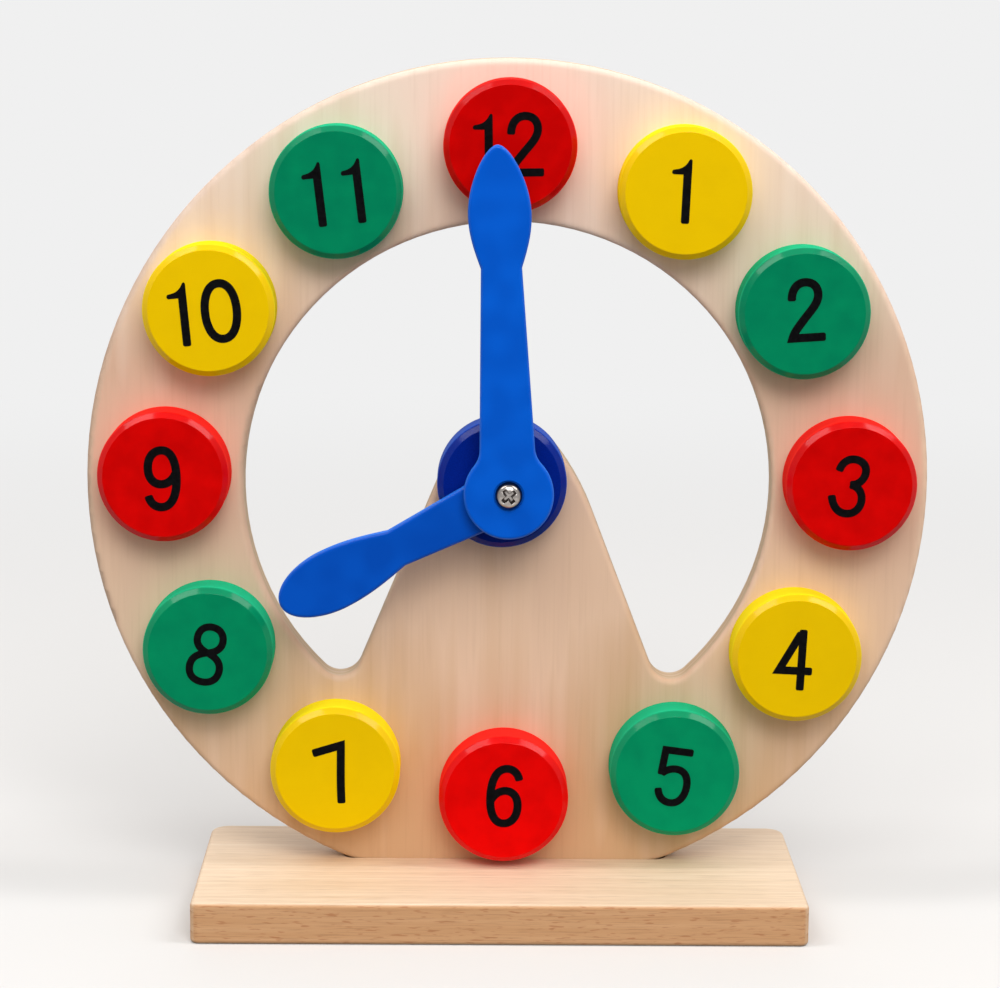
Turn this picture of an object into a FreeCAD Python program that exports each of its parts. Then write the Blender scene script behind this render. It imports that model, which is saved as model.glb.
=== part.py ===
# Geared teaching clock: a wooden ring dial on a flat base, with twelve plug-in number
# discs and two hands that a small gear train inside the hub housing ties together 12 to 1.
#
# Frame: millimetres, +Z up, the dial faces -Y, origin at the bottom centre of the clock.
# Depths on the dial are counted from the plate's front face: towards the viewer is plus.

import FreeCAD, Part
import Sketcher
import math
import os

Vector = FreeCAD.Vector
FRONT = FreeCAD.Rotation(Vector(1, 0, 0), 90)    # turns a piece's own +Z to the viewer (-Y)

doc = FreeCAD.newDocument("teaching_clock")


# ---------------------------------------------------------------- driving sizes

SIZES = [
    # base block
    ("base_width", 143.4),
    ("base_depth", 65.0),
    ("base_thickness", 9.8),
    ("base_shift", -1.5),            # the ring stands a little right of the base's middle
    ("base_front_corner", 2.0),
    ("base_rear_corner", 4.5),
    ("base_edge", 1.0),
    # dial plate
    ("plate_setback", 37.0),         # base's front edge to the plate's front face
    ("plate_radius", 100.0),
    ("plate_thickness", 9.0),
    ("plate_edge", 1.2),
    ("ring_width", 37.1),            # between the rim and the opening
    ("opening_drop", 0.8),           # its centre below the ring's
    ("ring_sink", 7.4),              # the full circle's lowest point below the base's top
    ("tongue_head_radius", 14.4),    # it lies hidden behind the hub
    ("tongue_head_up", 0.8),
    ("tongue_head_left", 0.86),
    ("tongue_flare_right", 21.1),    # degrees from upright
    ("tongue_flare_left", 22.6),
    ("tongue_side_right", 16.34),    # hand axis to the right side's straight edge
    ("tongue_shoulder", 60.0),       # bend between that edge and the head
    ("tongue_fillet", 5.4),
    # slot in the base that holds the plate's foot
    ("slot_depth", 5.0),
    ("slot_reach", 1.5),             # slot beyond the ring's edge, each end
    ("slot_gap", 0.1),
    ("slot_corner", 3.0),
    # wood screws from below into the foot
    ("base_screw_spread", 28.0),
    ("base_screw_radius", 1.75),
    ("base_screw_head_radius", 3.4),
    ("base_screw_length", 16.0),
    ("base_screw_sink", 0.3),
    # number discs and their pegs
    ("number_inset", 19.4),          # the plate's rim to the circle of the discs' centres
    ("disc_radius", 15.5),
    ("disc_thickness", 9.6),
    ("disc_edge", 1.4),              # 45-degree bevel round the face
    ("disc_corner", 0.9),            # rounding between the bevel and the wall
    ("peg_radius", 4.0),
    ("peg_length", 4.5),             # in the plate
    ("peg_socket", 5.5),             # glued into the disc
    ("peg_end_room", 0.5),
    ("peg_point", 0.5),
    # gear train
    ("leaves", 8),                   # of both pinions
    ("first_teeth", 24),
    ("second_teeth", 32),
    ("first_module", 0.5),
    ("pressure_angle", 28.0),
    ("tooth_height", 0.8),           # above the pitch circle, in modules
    ("tooth_root", 1.0),             # below it, in modules
    ("tooth_thinning", 0.08),
    ("gear_thickness", 2.6),
    ("train_angle", 141.3),          # from +X to the line from hand axis to stud
    # hub housing
    ("hub_thickness", 9.6),
    ("hub_offset", 1.92),            # hand axis to the housing's centre, towards the stud
    ("hub_wall", 1.3),
    ("hub_front_wall", 1.8),
    ("hub_edge", 1.5),
    ("hub_corner", 0.9),
    ("hub_gear_room", 1.5),
    ("boss_radius", 1.8),
    ("boss_circle", 11.2),
    ("boss_angle", 20.0),
    # housing screws
    ("housing_screw_radius", 1.1),
    ("housing_screw_head_radius", 2.2),
    ("housing_screw_head_height", 1.6),
    ("housing_screw_bite", 6.0),     # length in the boss
    ("housing_screw_sink", 2.2),
    # arbor, bush, stud
    ("rear_journal_radius", 1.5),
    ("front_journal_radius", 2.6),
    ("thrust_collar_radius", 3.6),
    ("thrust_collar_thickness", 0.3),
    ("hand_seat_radius", 2.0),
    ("stud_radius", 0.6),
    ("stud_root", 5.0),              # in the plate
    ("stud_nose", 0.8),              # in the housing's front wall
    ("bush_radius", 3.5),
    ("bush_flange_radius", 5.0),
    ("bush_flange_thickness", 0.8),
    ("pipe_radius", 4.0),
    ("pipe_collar_radius", 5.2),
    # washers and clip on the arbor's rear end
    ("friction_washer_radius", 4.2),
    ("friction_washer_thickness", 0.3),
    ("friction_washer_dish", 0.4),
    ("back_washer_radius", 3.2),
    ("back_washer_thickness", 0.5),
    ("clip_radius", 2.8),
    ("clip_thickness", 0.5),
    ("clip_groove_radius", 1.1),
    ("arbor_tail", 0.8),             # behind the clip
    # hands
    ("hand_thickness", 3.0),
    ("hand_edge", 0.8),
    ("hour_hand_gap", 1.2),          # housing to hour hand
    ("hands_gap", 0.8),
    ("minute_length", 81.0),
    ("minute_boss_radius", 10.5),
    ("minute_stem_half", 6.45),
    ("minute_neck_half", 4.75),
    ("minute_neck_at", 52.8),
    ("minute_blade_half", 7.3),
    ("minute_blade_at", 65.0),
    ("minute_tip_half", 2.9),
    ("minute_angle", 92.3),          # from +X, anticlockwise seen from the front
    ("hour_length", 60.0),
    ("hour_boss_radius", 9.4),
    ("hour_stem_half", 5.85),
    ("hour_neck_half", 4.6),
    ("hour_neck_at", 29.4),
    ("hour_blade_half", 7.3),
    ("hour_blade_at", 46.5),
    ("hour_tip_half", 4.6),
    ("hour_angle", 207.2),
    ("hand_boss_fillet", 6.0),
    # hand screw
    ("hand_screw_radius", 1.2),
    ("hand_screw_length", 8.0),
    ("hand_screw_head_radius", 3.2),
    ("hand_screw_head_height", 2.4),
    ("hand_screw_seat_depth", 0.4),
    ("hand_screw_seat_room", 0.35),
    # clearances
    ("glue_gap", 0.05),
    ("running_gap", 0.05),
    ("screw_gap", 0.1),
    ("end_play", 0.3),
]

# Each disc sits a little off the even circle: to the right and up. The 6 is set high,
# clear of the base.
DISC_SHIFTS = {
    1: (0.2, -0.1), 2: (-1.1, 1.6), 3: (0.2, 1.2), 4: (-0.9, 0.0),
    5: (0.1, 1.1), 6: (-0.5, 5.3), 7: (-0.5, 1.4), 8: (-1.1, 0.9),
    9: (-0.5, 2.4), 10: (-0.3, 1.4), 11: (-0.2, -0.5), 12: (-0.2, -0.4),
}
for hour, (right, up) in DISC_SHIFTS.items():
    SIZES.append(("disc_%02d_right" % hour, right))
    SIZES.append(("disc_%02d_up" % hour, up))

sheet = doc.addObject("Spreadsheet::Sheet", "sizes")
for row, (alias, size) in enumerate(SIZES, start=1):
    sheet.set("A%d" % row, alias)
    sheet.set("B%d" % row, str(size))
    sheet.setAlias("B%d" % row, alias)
doc.recompute()


# ---------------------------------------------------------------- places and derived sizes
# Each is an expression over the sheet: pieces are bound to it, and number() reads it.

FACE_Y = "(sizes.plate_setback - sizes.base_depth / 2)"
AXIS_OVER_BASE = "(sizes.plate_radius - sizes.ring_sink)"
AXIS_Z = "(sizes.base_thickness + %s)" % AXIS_OVER_BASE
FOOT_DROP = "(%s + sizes.slot_depth)" % AXIS_OVER_BASE
OPENING_RADIUS = "(sizes.plate_radius - sizes.ring_width)"
NUMBER_CIRCLE = "(sizes.plate_radius - sizes.number_inset)"
CENTRES = "(sizes.first_module * (sizes.leaves + sizes.first_teeth) / 2)"
SECOND_MODULE = "(2 * %s / (sizes.leaves + sizes.second_teeth))" % CENTRES
STUD_X = "(%s * cos(sizes.train_angle))" % CENTRES
STUD_Z = "(%s * sin(sizes.train_angle))" % CENTRES
HUB_X = "(sizes.hub_offset * cos(sizes.train_angle))"
HUB_Z = "(sizes.hub_offset * sin(sizes.train_angle))"
WHEEL_REACH = ("(%s + sizes.first_module * (sizes.first_teeth / 2 + sizes.tooth_height)"
               " - sizes.hub_offset)" % CENTRES)
HUB_INSIDE = "(%s + sizes.hub_gear_room)" % WHEEL_REACH
HUB_RADIUS = "(%s + sizes.hub_wall)" % HUB_INSIDE
HUB_DEPTH = "(sizes.hub_thickness - sizes.hub_front_wall)"
BOSS_X = "(sizes.boss_circle * cos(sizes.boss_angle))"
BOSS_Z = "(sizes.boss_circle * sin(sizes.boss_angle))"
HOUR_HAND_AT = "(sizes.hub_thickness + sizes.hour_hand_gap)"
MINUTE_HAND_AT = "(%s + sizes.hand_thickness + sizes.hands_gap)" % HOUR_HAND_AT
PEG_HOLE = "(sizes.peg_radius + sizes.running_gap)"


def number(expression):
    """The value of an expression over the sheet."""
    found = sheet.evalExpression(expression)
    return float(getattr(found, "Value", found))


def disc_x(hour):
    return "(%s * sin(%d) + sizes.disc_%02d_right)" % (NUMBER_CIRCLE, 30 * hour, hour)


def disc_z(hour):
    return "(%s * cos(%d) + sizes.disc_%02d_up)" % (NUMBER_CIRCLE, 30 * hour, hour)


def place(piece, x="0", y=FACE_Y, z=AXIS_Z):
    """Bind a piece's place; by default it sits where the hand axis meets the plate."""
    piece.setExpression("Placement.Base.x", x)
    piece.setExpression("Placement.Base.y", y)
    piece.setExpression("Placement.Base.z", z)


# ---------------------------------------------------------------- body and sketch helpers

def new_body(label):
    body = doc.addObject("PartDesign::Body", label)
    body.Label = label
    return body


def new_sketch(body, name, role="XZ_Plane", lift=None):
    """A sketch on one of the body's own planes, lifted along that plane's normal."""
    sketch = body.newObject("Sketcher::SketchObject", name)
    plane = [part for part in body.Origin.OriginFeatures if part.Role == role][0]
    sketch.AttachmentSupport = (plane, "")
    sketch.MapMode = "FlatFace"
    if lift:
        sketch.setExpression("AttachmentOffset.Base.z", lift)
    return sketch


def bind(sketch, constraint, expression):
    index = sketch.addConstraint(constraint)
    sketch.setExpression("Constraints[%d]" % index, expression)


def add_circle(sketch, radius, x="0", y="0"):
    centre = Vector(number(x), number(y), 0)
    size = number(radius)
    circle = sketch.addGeometry(Part.Circle(centre, Vector(0, 0, 1), size))
    bind(sketch, Sketcher.Constraint("Radius", circle, size), radius)
    bind(sketch, Sketcher.Constraint("DistanceX", -1, 1, circle, 3, centre.x), x)
    bind(sketch, Sketcher.Constraint("DistanceY", -1, 1, circle, 3, centre.y), y)


def add_rectangle(sketch, width, height, x="0", y="0"):
    """A rectangle about the point x, y."""
    half_width = number(width) / 2
    half_height = number(height) / 2
    middle = Vector(number(x), number(y), 0)
    corners = [middle + Vector(across * half_width, along * half_height, 0)
               for across, along in ((-1, -1), (1, -1), (1, 1), (-1, 1))]
    sides = [sketch.addGeometry(Part.LineSegment(corners[i], corners[(i + 1) % 4]))
             for i in range(4)]
    for i in range(4):
        sketch.addConstraint(Sketcher.Constraint("Coincident", sides[i], 2, sides[(i + 1) % 4], 1))
    sketch.addConstraint(Sketcher.Constraint("Horizontal", sides[0]))
    sketch.addConstraint(Sketcher.Constraint("Horizontal", sides[2]))
    sketch.addConstraint(Sketcher.Constraint("Vertical", sides[1]))
    sketch.addConstraint(Sketcher.Constraint("Vertical", sides[3]))
    low = corners[0]
    bind(sketch, Sketcher.Constraint("DistanceX", sides[0], 1, sides[0], 2, 2 * half_width), width)
    bind(sketch, Sketcher.Constraint("DistanceY", sides[1], 1, sides[1], 2, 2 * half_height), height)
    bind(sketch, Sketcher.Constraint("DistanceX", -1, 1, sides[0], 1, low.x),
         "%s - %s / 2" % (x, width))
    bind(sketch, Sketcher.Constraint("DistanceY", -1, 1, sides[0], 1, low.y),
         "%s - %s / 2" % (y, height))


def pad(body, sketch, length, reverse=False):
    feature = body.newObject("PartDesign::Pad", sketch.Name + "_pad")
    feature.Profile = sketch
    feature.setExpression("Length", length)
    feature.Reversed = reverse
    doc.recompute()
    return feature


def pocket(body, sketch, depth=None, reverse=False):
    """Cut a sketch away against its normal, or along it when reversed; no depth is through."""
    before = body.Shape.Volume
    feature = body.newObject("PartDesign::Pocket", sketch.Name + "_pocket")
    feature.Profile = sketch
    if depth:
        feature.setExpression("Length", depth)
    else:
        feature.Type = "ThroughAll"
    feature.Reversed = reverse
    doc.recompute()
    if body.Shape.Volume > before - 1e-6:
        raise RuntimeError("pocket %s cuts nothing" % sketch.Name)
    return feature


def fillet(body, base, radius, wanted):
    """Round the edges of a feature for which wanted(edge) is true."""
    names = ["Edge%d" % (i + 1) for i, edge in enumerate(base.Shape.Edges) if wanted(edge)]
    feature = body.newObject("PartDesign::Fillet", base.Name + "_round")
    feature.Base = (base, names)
    feature.setExpression("Radius", radius)
    doc.recompute()
    return feature


def bevel(body, base, axis, level, size, corner):
    """Bevel the outer edge at one level at 45 degrees and round the bevel's outer corner."""
    feature = body.newObject("PartDesign::Chamfer", base.Name + "_bevel")
    feature.Base = (base, ["Edge%d" % (i + 1) for i, edge in enumerate(base.Shape.Edges)
                           if lies_at(edge, axis, level)])
    feature.setExpression("Size", size)
    doc.recompute()
    return fillet(body, feature, corner, lambda edge: lies_at(edge, axis, level + number(size)))


def lies_at(edge, axis, level):
    """True when the whole edge lies at one level of an axis."""
    box = edge.BoundBox
    low, high = getattr(box, axis + "Min"), getattr(box, axis + "Max")
    return abs(low - level) < 1e-4 and abs(high - level) < 1e-4


def is_upright(edge):
    box = edge.BoundBox
    return box.XLength < 1e-4 and box.YLength < 1e-4


def rod(label, radius, length, start):
    """A cylinder on the hand axis, from a depth in front of the plate towards the viewer."""
    piece = doc.addObject("Part::Cylinder", label)
    piece.Label = label
    piece.setExpression("Radius", radius)
    piece.setExpression("Height", length)
    piece.Placement = FreeCAD.Placement(Vector(0, 0, 0), FRONT)
    place(piece, y="%s - (%s)" % (FACE_Y, start))
    return piece


def cut(label, base, tool):
    piece = doc.addObject("Part::Cut", label)
    piece.Label = label
    piece.Base = base
    piece.Tool = tool
    return piece


def ring(label, outer, inner, length, start):
    """A washer or tube on the hand axis."""
    margin = 1.0
    blank = rod(label + "_blank", outer, length, start)
    hole = rod(label + "_hole", inner, "%s + %s" % (length, 2 * margin),
               "%s - %s" % (start, margin))
    return cut(label, blank, hole)


def fuse(label, pieces):
    whole = doc.addObject("Part::MultiFuse", label)
    whole.Label = label
    whole.Shapes = pieces
    return whole


def group(label, pieces):
    """One node that holds several separate solids of the same kind."""
    node = doc.addObject("Part::Compound", label)
    node.Label = label
    node.Links = pieces
    return node


def shape_feature(label, shape):
    """A piece whose shape is made by Part's own functions about the hand axis."""
    piece = doc.addObject("Part::Feature", label)
    piece.Label = label
    piece.Shape = shape
    piece.Placement = FreeCAD.Placement(Vector(0, 0, 0), FRONT)
    place(piece)
    return piece


# ---------------------------------------------------------------- base block

base = new_body("base_block")
place(base, x="sizes.base_shift", y="0", z="0")
base_plan = new_sketch(base, "base_plan", "XY_Plane")
add_rectangle(base_plan, "sizes.base_width", "sizes.base_depth")
base_slab = pad(base, base_plan, "sizes.base_thickness")
base_front = fillet(base, base_slab, "sizes.base_front_corner",
                    lambda edge: is_upright(edge) and edge.BoundBox.YMax < 0)
base_rear = fillet(base, base_front, "sizes.base_rear_corner",
                   lambda edge: is_upright(edge) and lies_at(edge, "Y", number("sizes.base_depth") / 2))
base_rounded = fillet(base, base_rear, "sizes.base_edge",
                      lambda edge: lies_at(edge, "Z", number("sizes.base_thickness"))
                      or lies_at(edge, "Z", 0))

PLATE_MIDDLE_Y = "(%s + sizes.plate_thickness / 2)" % FACE_Y
# half width of the ring where it meets the base's top
RING_AT_BASE = "sqrt(sizes.plate_radius ^ 2 - %s ^ 2)" % AXIS_OVER_BASE
slot_plan = new_sketch(base, "slot_plan", "XY_Plane", lift="sizes.base_thickness")
add_rectangle(slot_plan, "(2 * %s + 2 * sizes.slot_reach)" % RING_AT_BASE,
              "(sizes.plate_thickness + 2 * sizes.slot_gap)",
              "-sizes.base_shift", PLATE_MIDDLE_Y)
slot_cut = pocket(base, slot_plan, "sizes.slot_depth")
slot_floor = number("sizes.base_thickness") - number("sizes.slot_depth")
base_slotted = fillet(base, slot_cut, "sizes.slot_corner",
                      lambda edge: is_upright(edge) and edge.BoundBox.ZMin > slot_floor - 1e-4
                      and abs(edge.BoundBox.YMax) < number("sizes.base_depth") / 2 - 6)

BASE_SCREW_AT = ["sizes.base_screw_spread / 2", "-sizes.base_screw_spread / 2"]
screw_holes = new_sketch(base, "base_screw_holes", "XY_Plane")
for along in BASE_SCREW_AT:
    add_circle(screw_holes, "(sizes.base_screw_radius + sizes.screw_gap)",
               "%s - sizes.base_shift" % along, PLATE_MIDDLE_Y)
screw_holes_cut = pocket(base, screw_holes, reverse=True)

# 90-degree countersinks: a chamfer on the mouths of the two holes
SINK_RADIUS = "(sizes.base_screw_head_radius + sizes.base_screw_sink + sizes.screw_gap)"
countersinks = base.newObject("PartDesign::Chamfer", "base_countersinks")
hole_radius = number("sizes.base_screw_radius + sizes.screw_gap")
countersinks.Base = (screw_holes_cut,
                     ["Edge%d" % (i + 1) for i, edge in enumerate(screw_holes_cut.Shape.Edges)
                      if lies_at(edge, "Z", 0) and abs(edge.BoundBox.XLength - 2 * hole_radius) < 1e-3])
countersinks.setExpression("Size", "%s - sizes.base_screw_radius - sizes.screw_gap" % SINK_RADIUS)
doc.recompute()


# ---------------------------------------------------------------- base screws

def base_screw(index, along):
    """Countersunk wood screw, head down in the base, shank up into the plate's foot."""
    head = doc.addObject("Part::Cone", "base_screw_head_%d" % index)
    head.setExpression("Radius1", "sizes.base_screw_head_radius")
    head.setExpression("Radius2", "sizes.base_screw_radius")
    head.setExpression("Height", "sizes.base_screw_head_radius - sizes.base_screw_radius")
    place(head, along, PLATE_MIDDLE_Y, "sizes.base_screw_sink")
    shank = doc.addObject("Part::Cylinder", "base_screw_shank_%d" % index)
    shank.setExpression("Radius", "sizes.base_screw_radius")
    shank.setExpression("Height", "sizes.base_screw_length - sizes.base_screw_radius")
    place(shank, along, PLATE_MIDDLE_Y, "sizes.base_screw_sink")
    point = doc.addObject("Part::Cone", "base_screw_point_%d" % index)
    point.setExpression("Radius1", "sizes.base_screw_radius")
    point.setExpression("Radius2", "sizes.base_screw_radius / 8")
    point.setExpression("Height", "sizes.base_screw_radius")
    place(point, along, PLATE_MIDDLE_Y,
          "sizes.base_screw_sink + sizes.base_screw_length - sizes.base_screw_radius")
    return fuse("base_screw_%d" % index, [head, shank, point])


base_screws = group("base_screws", [base_screw(i, along) for i, along in enumerate(BASE_SCREW_AT)])


# ---------------------------------------------------------------- dial plate

plate = new_body("dial_plate")
place(plate)

# outline: the ring's rim down to a flat foot in the slot
outline = new_sketch(plate, "plate_outline")
rim_radius = number("sizes.plate_radius")
foot_drop = number(FOOT_DROP)
foot_half = math.sqrt(rim_radius ** 2 - foot_drop ** 2)
foot_angle = math.atan2(-foot_drop, foot_half)
rim = outline.addGeometry(Part.ArcOfCircle(Part.Circle(Vector(0, 0, 0), Vector(0, 0, 1), rim_radius),
                                           foot_angle, math.pi - foot_angle))
foot = outline.addGeometry(Part.LineSegment(Vector(-foot_half, -foot_drop, 0),
                                            Vector(foot_half, -foot_drop, 0)))
outline.addConstraint(Sketcher.Constraint("Coincident", rim, 2, foot, 1))
outline.addConstraint(Sketcher.Constraint("Coincident", rim, 1, foot, 2))
outline.addConstraint(Sketcher.Constraint("Coincident", rim, 3, -1, 1))
outline.addConstraint(Sketcher.Constraint("Horizontal", foot))
bind(outline, Sketcher.Constraint("Radius", rim, rim_radius), "sizes.plate_radius")
bind(outline, Sketcher.Constraint("DistanceY", foot, 1, -1, 1, foot_drop), FOOT_DROP)
pad(plate, outline, "sizes.plate_thickness", reverse=True)

# opening: the inner circle less a tongue with a round head and flaring sides
opening_radius = number(OPENING_RADIUS)
head_radius = number("sizes.tongue_head_radius")
corner_radius = number("sizes.tongue_fillet")
opening_centre = Vector(0, -number("sizes.opening_drop"), 0)
head_centre = Vector(-number("sizes.tongue_head_left"), number("sizes.tongue_head_up"), 0)
shoulder_radius = number("sizes.tongue_shoulder")
flat = Vector(0, 0, 1)


def tongue_side(side):
    """One side of the tongue, right (1) or left (-1): the ends of its straight edge, and the
    centre and end angles of the fillet that joins it to the inner circle. The left edge is
    tangent to the head, the right edge to the shoulder, whose bend ends on the head."""
    flare = math.radians(number("sizes.tongue_flare_%s" % ("right" if side > 0 else "left")))
    down = Vector(side * math.sin(flare), -math.cos(flare), 0)
    out = Vector(side * math.cos(flare), math.sin(flare), 0)
    if side > 0:
        reach = number("sizes.tongue_side_right")
        inward = reach - shoulder_radius - head_centre.dot(out)
        drop = math.sqrt((shoulder_radius - head_radius) ** 2 - inward ** 2)
        bend_centre = head_centre + out * inward + down * drop
        top = bend_centre + out * shoulder_radius
    else:
        reach = head_centre.dot(out) + head_radius
        bend_centre = head_centre
        top = head_centre + out * head_radius
    # the fillet's centre lies its radius outside the edge and inside the inner circle
    start = out * (reach + corner_radius) - opening_centre
    along = start.dot(down)
    away = start.dot(start) - (opening_radius - corner_radius) ** 2
    fillet_centre = start + down * (math.sqrt(along ** 2 - away) - along)
    circle_angle = math.atan2(fillet_centre.y, fillet_centre.x)
    fillet_centre = fillet_centre + opening_centre
    bottom = fillet_centre - out * corner_radius
    return top, bottom, fillet_centre, circle_angle, flare, bend_centre


right_top, right_bottom, right_centre, right_angle, right_flare, bend_centre = tongue_side(1)
left_top, left_bottom, left_centre, left_angle, left_flare, _ = tongue_side(-1)
to_head = head_centre - bend_centre
head_start = math.atan2(to_head.y, to_head.x)
opening = new_sketch(plate, "opening_outline")
big_arc = opening.addGeometry(Part.ArcOfCircle(Part.Circle(opening_centre, flat, opening_radius),
                                               right_angle, left_angle + 2 * math.pi))
head_arc = opening.addGeometry(Part.ArcOfCircle(Part.Circle(head_centre, flat, head_radius),
                                                head_start, math.pi - left_flare))
shoulder = opening.addGeometry(Part.ArcOfCircle(Part.Circle(bend_centre, flat, shoulder_radius),
                                                right_flare, head_start))
right_corner = opening.addGeometry(Part.ArcOfCircle(Part.Circle(right_centre, flat, corner_radius),
                                                    right_flare + math.pi, right_angle + 2 * math.pi))
left_corner = opening.addGeometry(Part.ArcOfCircle(Part.Circle(left_centre, flat, corner_radius),
                                                   left_angle + 2 * math.pi, 2 * math.pi - left_flare))
right_side = opening.addGeometry(Part.LineSegment(right_top, right_bottom))
left_side = opening.addGeometry(Part.LineSegment(left_top, left_bottom))
for one, one_end, other, other_end in ((big_arc, 1, right_corner, 2), (big_arc, 2, left_corner, 1),
                                       (right_side, 1, shoulder, 1), (shoulder, 2, head_arc, 1),
                                       (left_side, 1, head_arc, 2),
                                       (right_side, 2, right_corner, 1), (left_side, 2, left_corner, 2)):
    opening.addConstraint(Sketcher.Constraint("Tangent", one, one_end, other, other_end))
opening.addConstraint(Sketcher.Constraint("PointOnObject", big_arc, 3, -2))
bind(opening, Sketcher.Constraint("DistanceY", big_arc, 3, -1, 1, -opening_centre.y),
     "sizes.opening_drop")
bind(opening, Sketcher.Constraint("DistanceX", head_arc, 3, -1, 1, -head_centre.x),
     "sizes.tongue_head_left")
bind(opening, Sketcher.Constraint("DistanceY", -1, 1, head_arc, 3, head_centre.y),
     "sizes.tongue_head_up")
bind(opening, Sketcher.Constraint("Radius", shoulder, shoulder_radius), "sizes.tongue_shoulder")
bind(opening, Sketcher.Constraint("Distance", -1, 1, right_side, number("sizes.tongue_side_right")),
     "sizes.tongue_side_right")
bind(opening, Sketcher.Constraint("Radius", big_arc, opening_radius), OPENING_RADIUS)
bind(opening, Sketcher.Constraint("Radius", head_arc, head_radius), "sizes.tongue_head_radius")
bind(opening, Sketcher.Constraint("Radius", right_corner, corner_radius), "sizes.tongue_fillet")
bind(opening, Sketcher.Constraint("Radius", left_corner, corner_radius), "sizes.tongue_fillet")
bind(opening, Sketcher.Constraint("Angle", -2, 2, right_side, 1, right_flare),
     "sizes.tongue_flare_right")
bind(opening, Sketcher.Constraint("Angle", left_side, 1, -2, 2, left_flare),
     "sizes.tongue_flare_left")
opened = pocket(plate, opening)

plate_back = number("sizes.plate_thickness")
plate_rounded = fillet(plate, opened, "sizes.plate_edge",
                       lambda edge: (lies_at(edge, "Y", 0) or lies_at(edge, "Y", plate_back))
                       and not lies_at(edge, "Z", -foot_drop))

peg_holes = new_sketch(plate, "peg_holes")
for hour in DISC_SHIFTS:
    add_circle(peg_holes, PEG_HOLE, disc_x(hour), disc_z(hour))
pocket(plate, peg_holes, "sizes.peg_length + sizes.peg_end_room")

stud_hole = new_sketch(plate, "stud_hole")
add_circle(stud_hole, "(sizes.stud_radius + sizes.glue_gap)", STUD_X, STUD_Z)
pocket(plate, stud_hole, "sizes.stud_root")

through_holes = new_sketch(plate, "through_holes")
add_circle(through_holes, "(sizes.bush_radius + sizes.glue_gap)")
SCREW_SIDES = (1, -1)
for side in SCREW_SIDES:
    add_circle(through_holes, "(sizes.housing_screw_radius + sizes.screw_gap)",
               "%s + %d * %s" % (HUB_X, side, BOSS_X), "%s + %d * %s" % (HUB_Z, side, BOSS_Z))
pocket(plate, through_holes)

screw_seats = new_sketch(plate, "screw_seats", lift="-sizes.plate_thickness")
for side in SCREW_SIDES:
    add_circle(screw_seats, "(sizes.housing_screw_head_radius + 2 * sizes.screw_gap)",
               "%s + %d * %s" % (HUB_X, side, BOSS_X), "%s + %d * %s" % (HUB_Z, side, BOSS_Z))
pocket(plate, screw_seats, "sizes.housing_screw_sink", reverse=True)

foot_holes = new_sketch(plate, "foot_holes", "XY_Plane", lift="-%s" % FOOT_DROP)
for along in BASE_SCREW_AT:
    add_circle(foot_holes, "(sizes.base_screw_radius + sizes.glue_gap)", along,
               "sizes.plate_thickness / 2")
pocket(plate, foot_holes,
       "sizes.base_screw_length + sizes.base_screw_sink - sizes.base_thickness"
       " + sizes.slot_depth + sizes.end_play", reverse=True)


# ---------------------------------------------------------------- number discs and pegs

for hour in DISC_SHIFTS:
    disc = new_body("number_disc_%02d" % hour)
    place(disc, disc_x(hour), FACE_Y, "%s + %s" % (AXIS_Z, disc_z(hour)))
    disc_plan = new_sketch(disc, "disc_plan_%02d" % hour)
    add_circle(disc_plan, "sizes.disc_radius")
    disc_blank = pad(disc, disc_plan, "sizes.disc_thickness")
    disc_front = -number("sizes.disc_thickness")
    bevel(disc, disc_blank, "Y", disc_front, "sizes.disc_edge", "sizes.disc_corner")
    socket_plan = new_sketch(disc, "peg_socket_%02d" % hour)
    add_circle(socket_plan, "(sizes.peg_radius + sizes.glue_gap)")
    pocket(disc, socket_plan, "sizes.peg_socket", reverse=True)

    dowel = rod("peg_blank_%02d" % hour, "sizes.peg_radius",
                "sizes.peg_length + sizes.peg_socket", "-sizes.peg_length")
    place(dowel, disc_x(hour), "%s + sizes.peg_length" % FACE_Y, "%s + %s" % (AXIS_Z, disc_z(hour)))
    doc.recompute()
    peg = doc.addObject("Part::Chamfer", "disc_peg_%02d" % hour)
    peg.Label = "disc_peg_%02d" % hour
    peg.Base = dowel
    rear_end = dowel.Placement.Base.y
    peg_point = number("sizes.peg_point")
    peg.Edges = [(i + 1, peg_point, peg_point) for i, edge in enumerate(dowel.Shape.Edges)
                 if lies_at(edge, "Y", rear_end)]


# ---------------------------------------------------------------- hub housing

housing = new_body("hub_housing")
place(housing, HUB_X, FACE_Y, "%s + %s" % (AXIS_Z, HUB_Z))
housing_plan = new_sketch(housing, "housing_plan")
add_circle(housing_plan, HUB_RADIUS)
housing_blank = pad(housing, housing_plan, "sizes.hub_thickness")
hub_front = -number("sizes.hub_thickness")
bevel(housing, housing_blank, "Y", hub_front, "sizes.hub_edge", "sizes.hub_corner")
inside_plan = new_sketch(housing, "housing_inside")
add_circle(inside_plan, HUB_INSIDE)
pocket(housing, inside_plan, HUB_DEPTH, reverse=True)
bosses = new_sketch(housing, "housing_bosses")
for side in SCREW_SIDES:
    add_circle(bosses, "sizes.boss_radius", "%d * %s" % (side, BOSS_X), "%d * %s" % (side, BOSS_Z))
pad(housing, bosses, HUB_DEPTH)
boss_holes = new_sketch(housing, "boss_holes")
for side in SCREW_SIDES:
    add_circle(boss_holes, "(sizes.housing_screw_radius + sizes.glue_gap)",
               "%d * %s" % (side, BOSS_X), "%d * %s" % (side, BOSS_Z))
pocket(housing, boss_holes, "sizes.housing_screw_bite + sizes.end_play", reverse=True)
pipe_hole = new_sketch(housing, "pipe_hole")
add_circle(pipe_hole, "(sizes.pipe_radius + sizes.running_gap)", "-" + HUB_X, "-" + HUB_Z)
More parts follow.
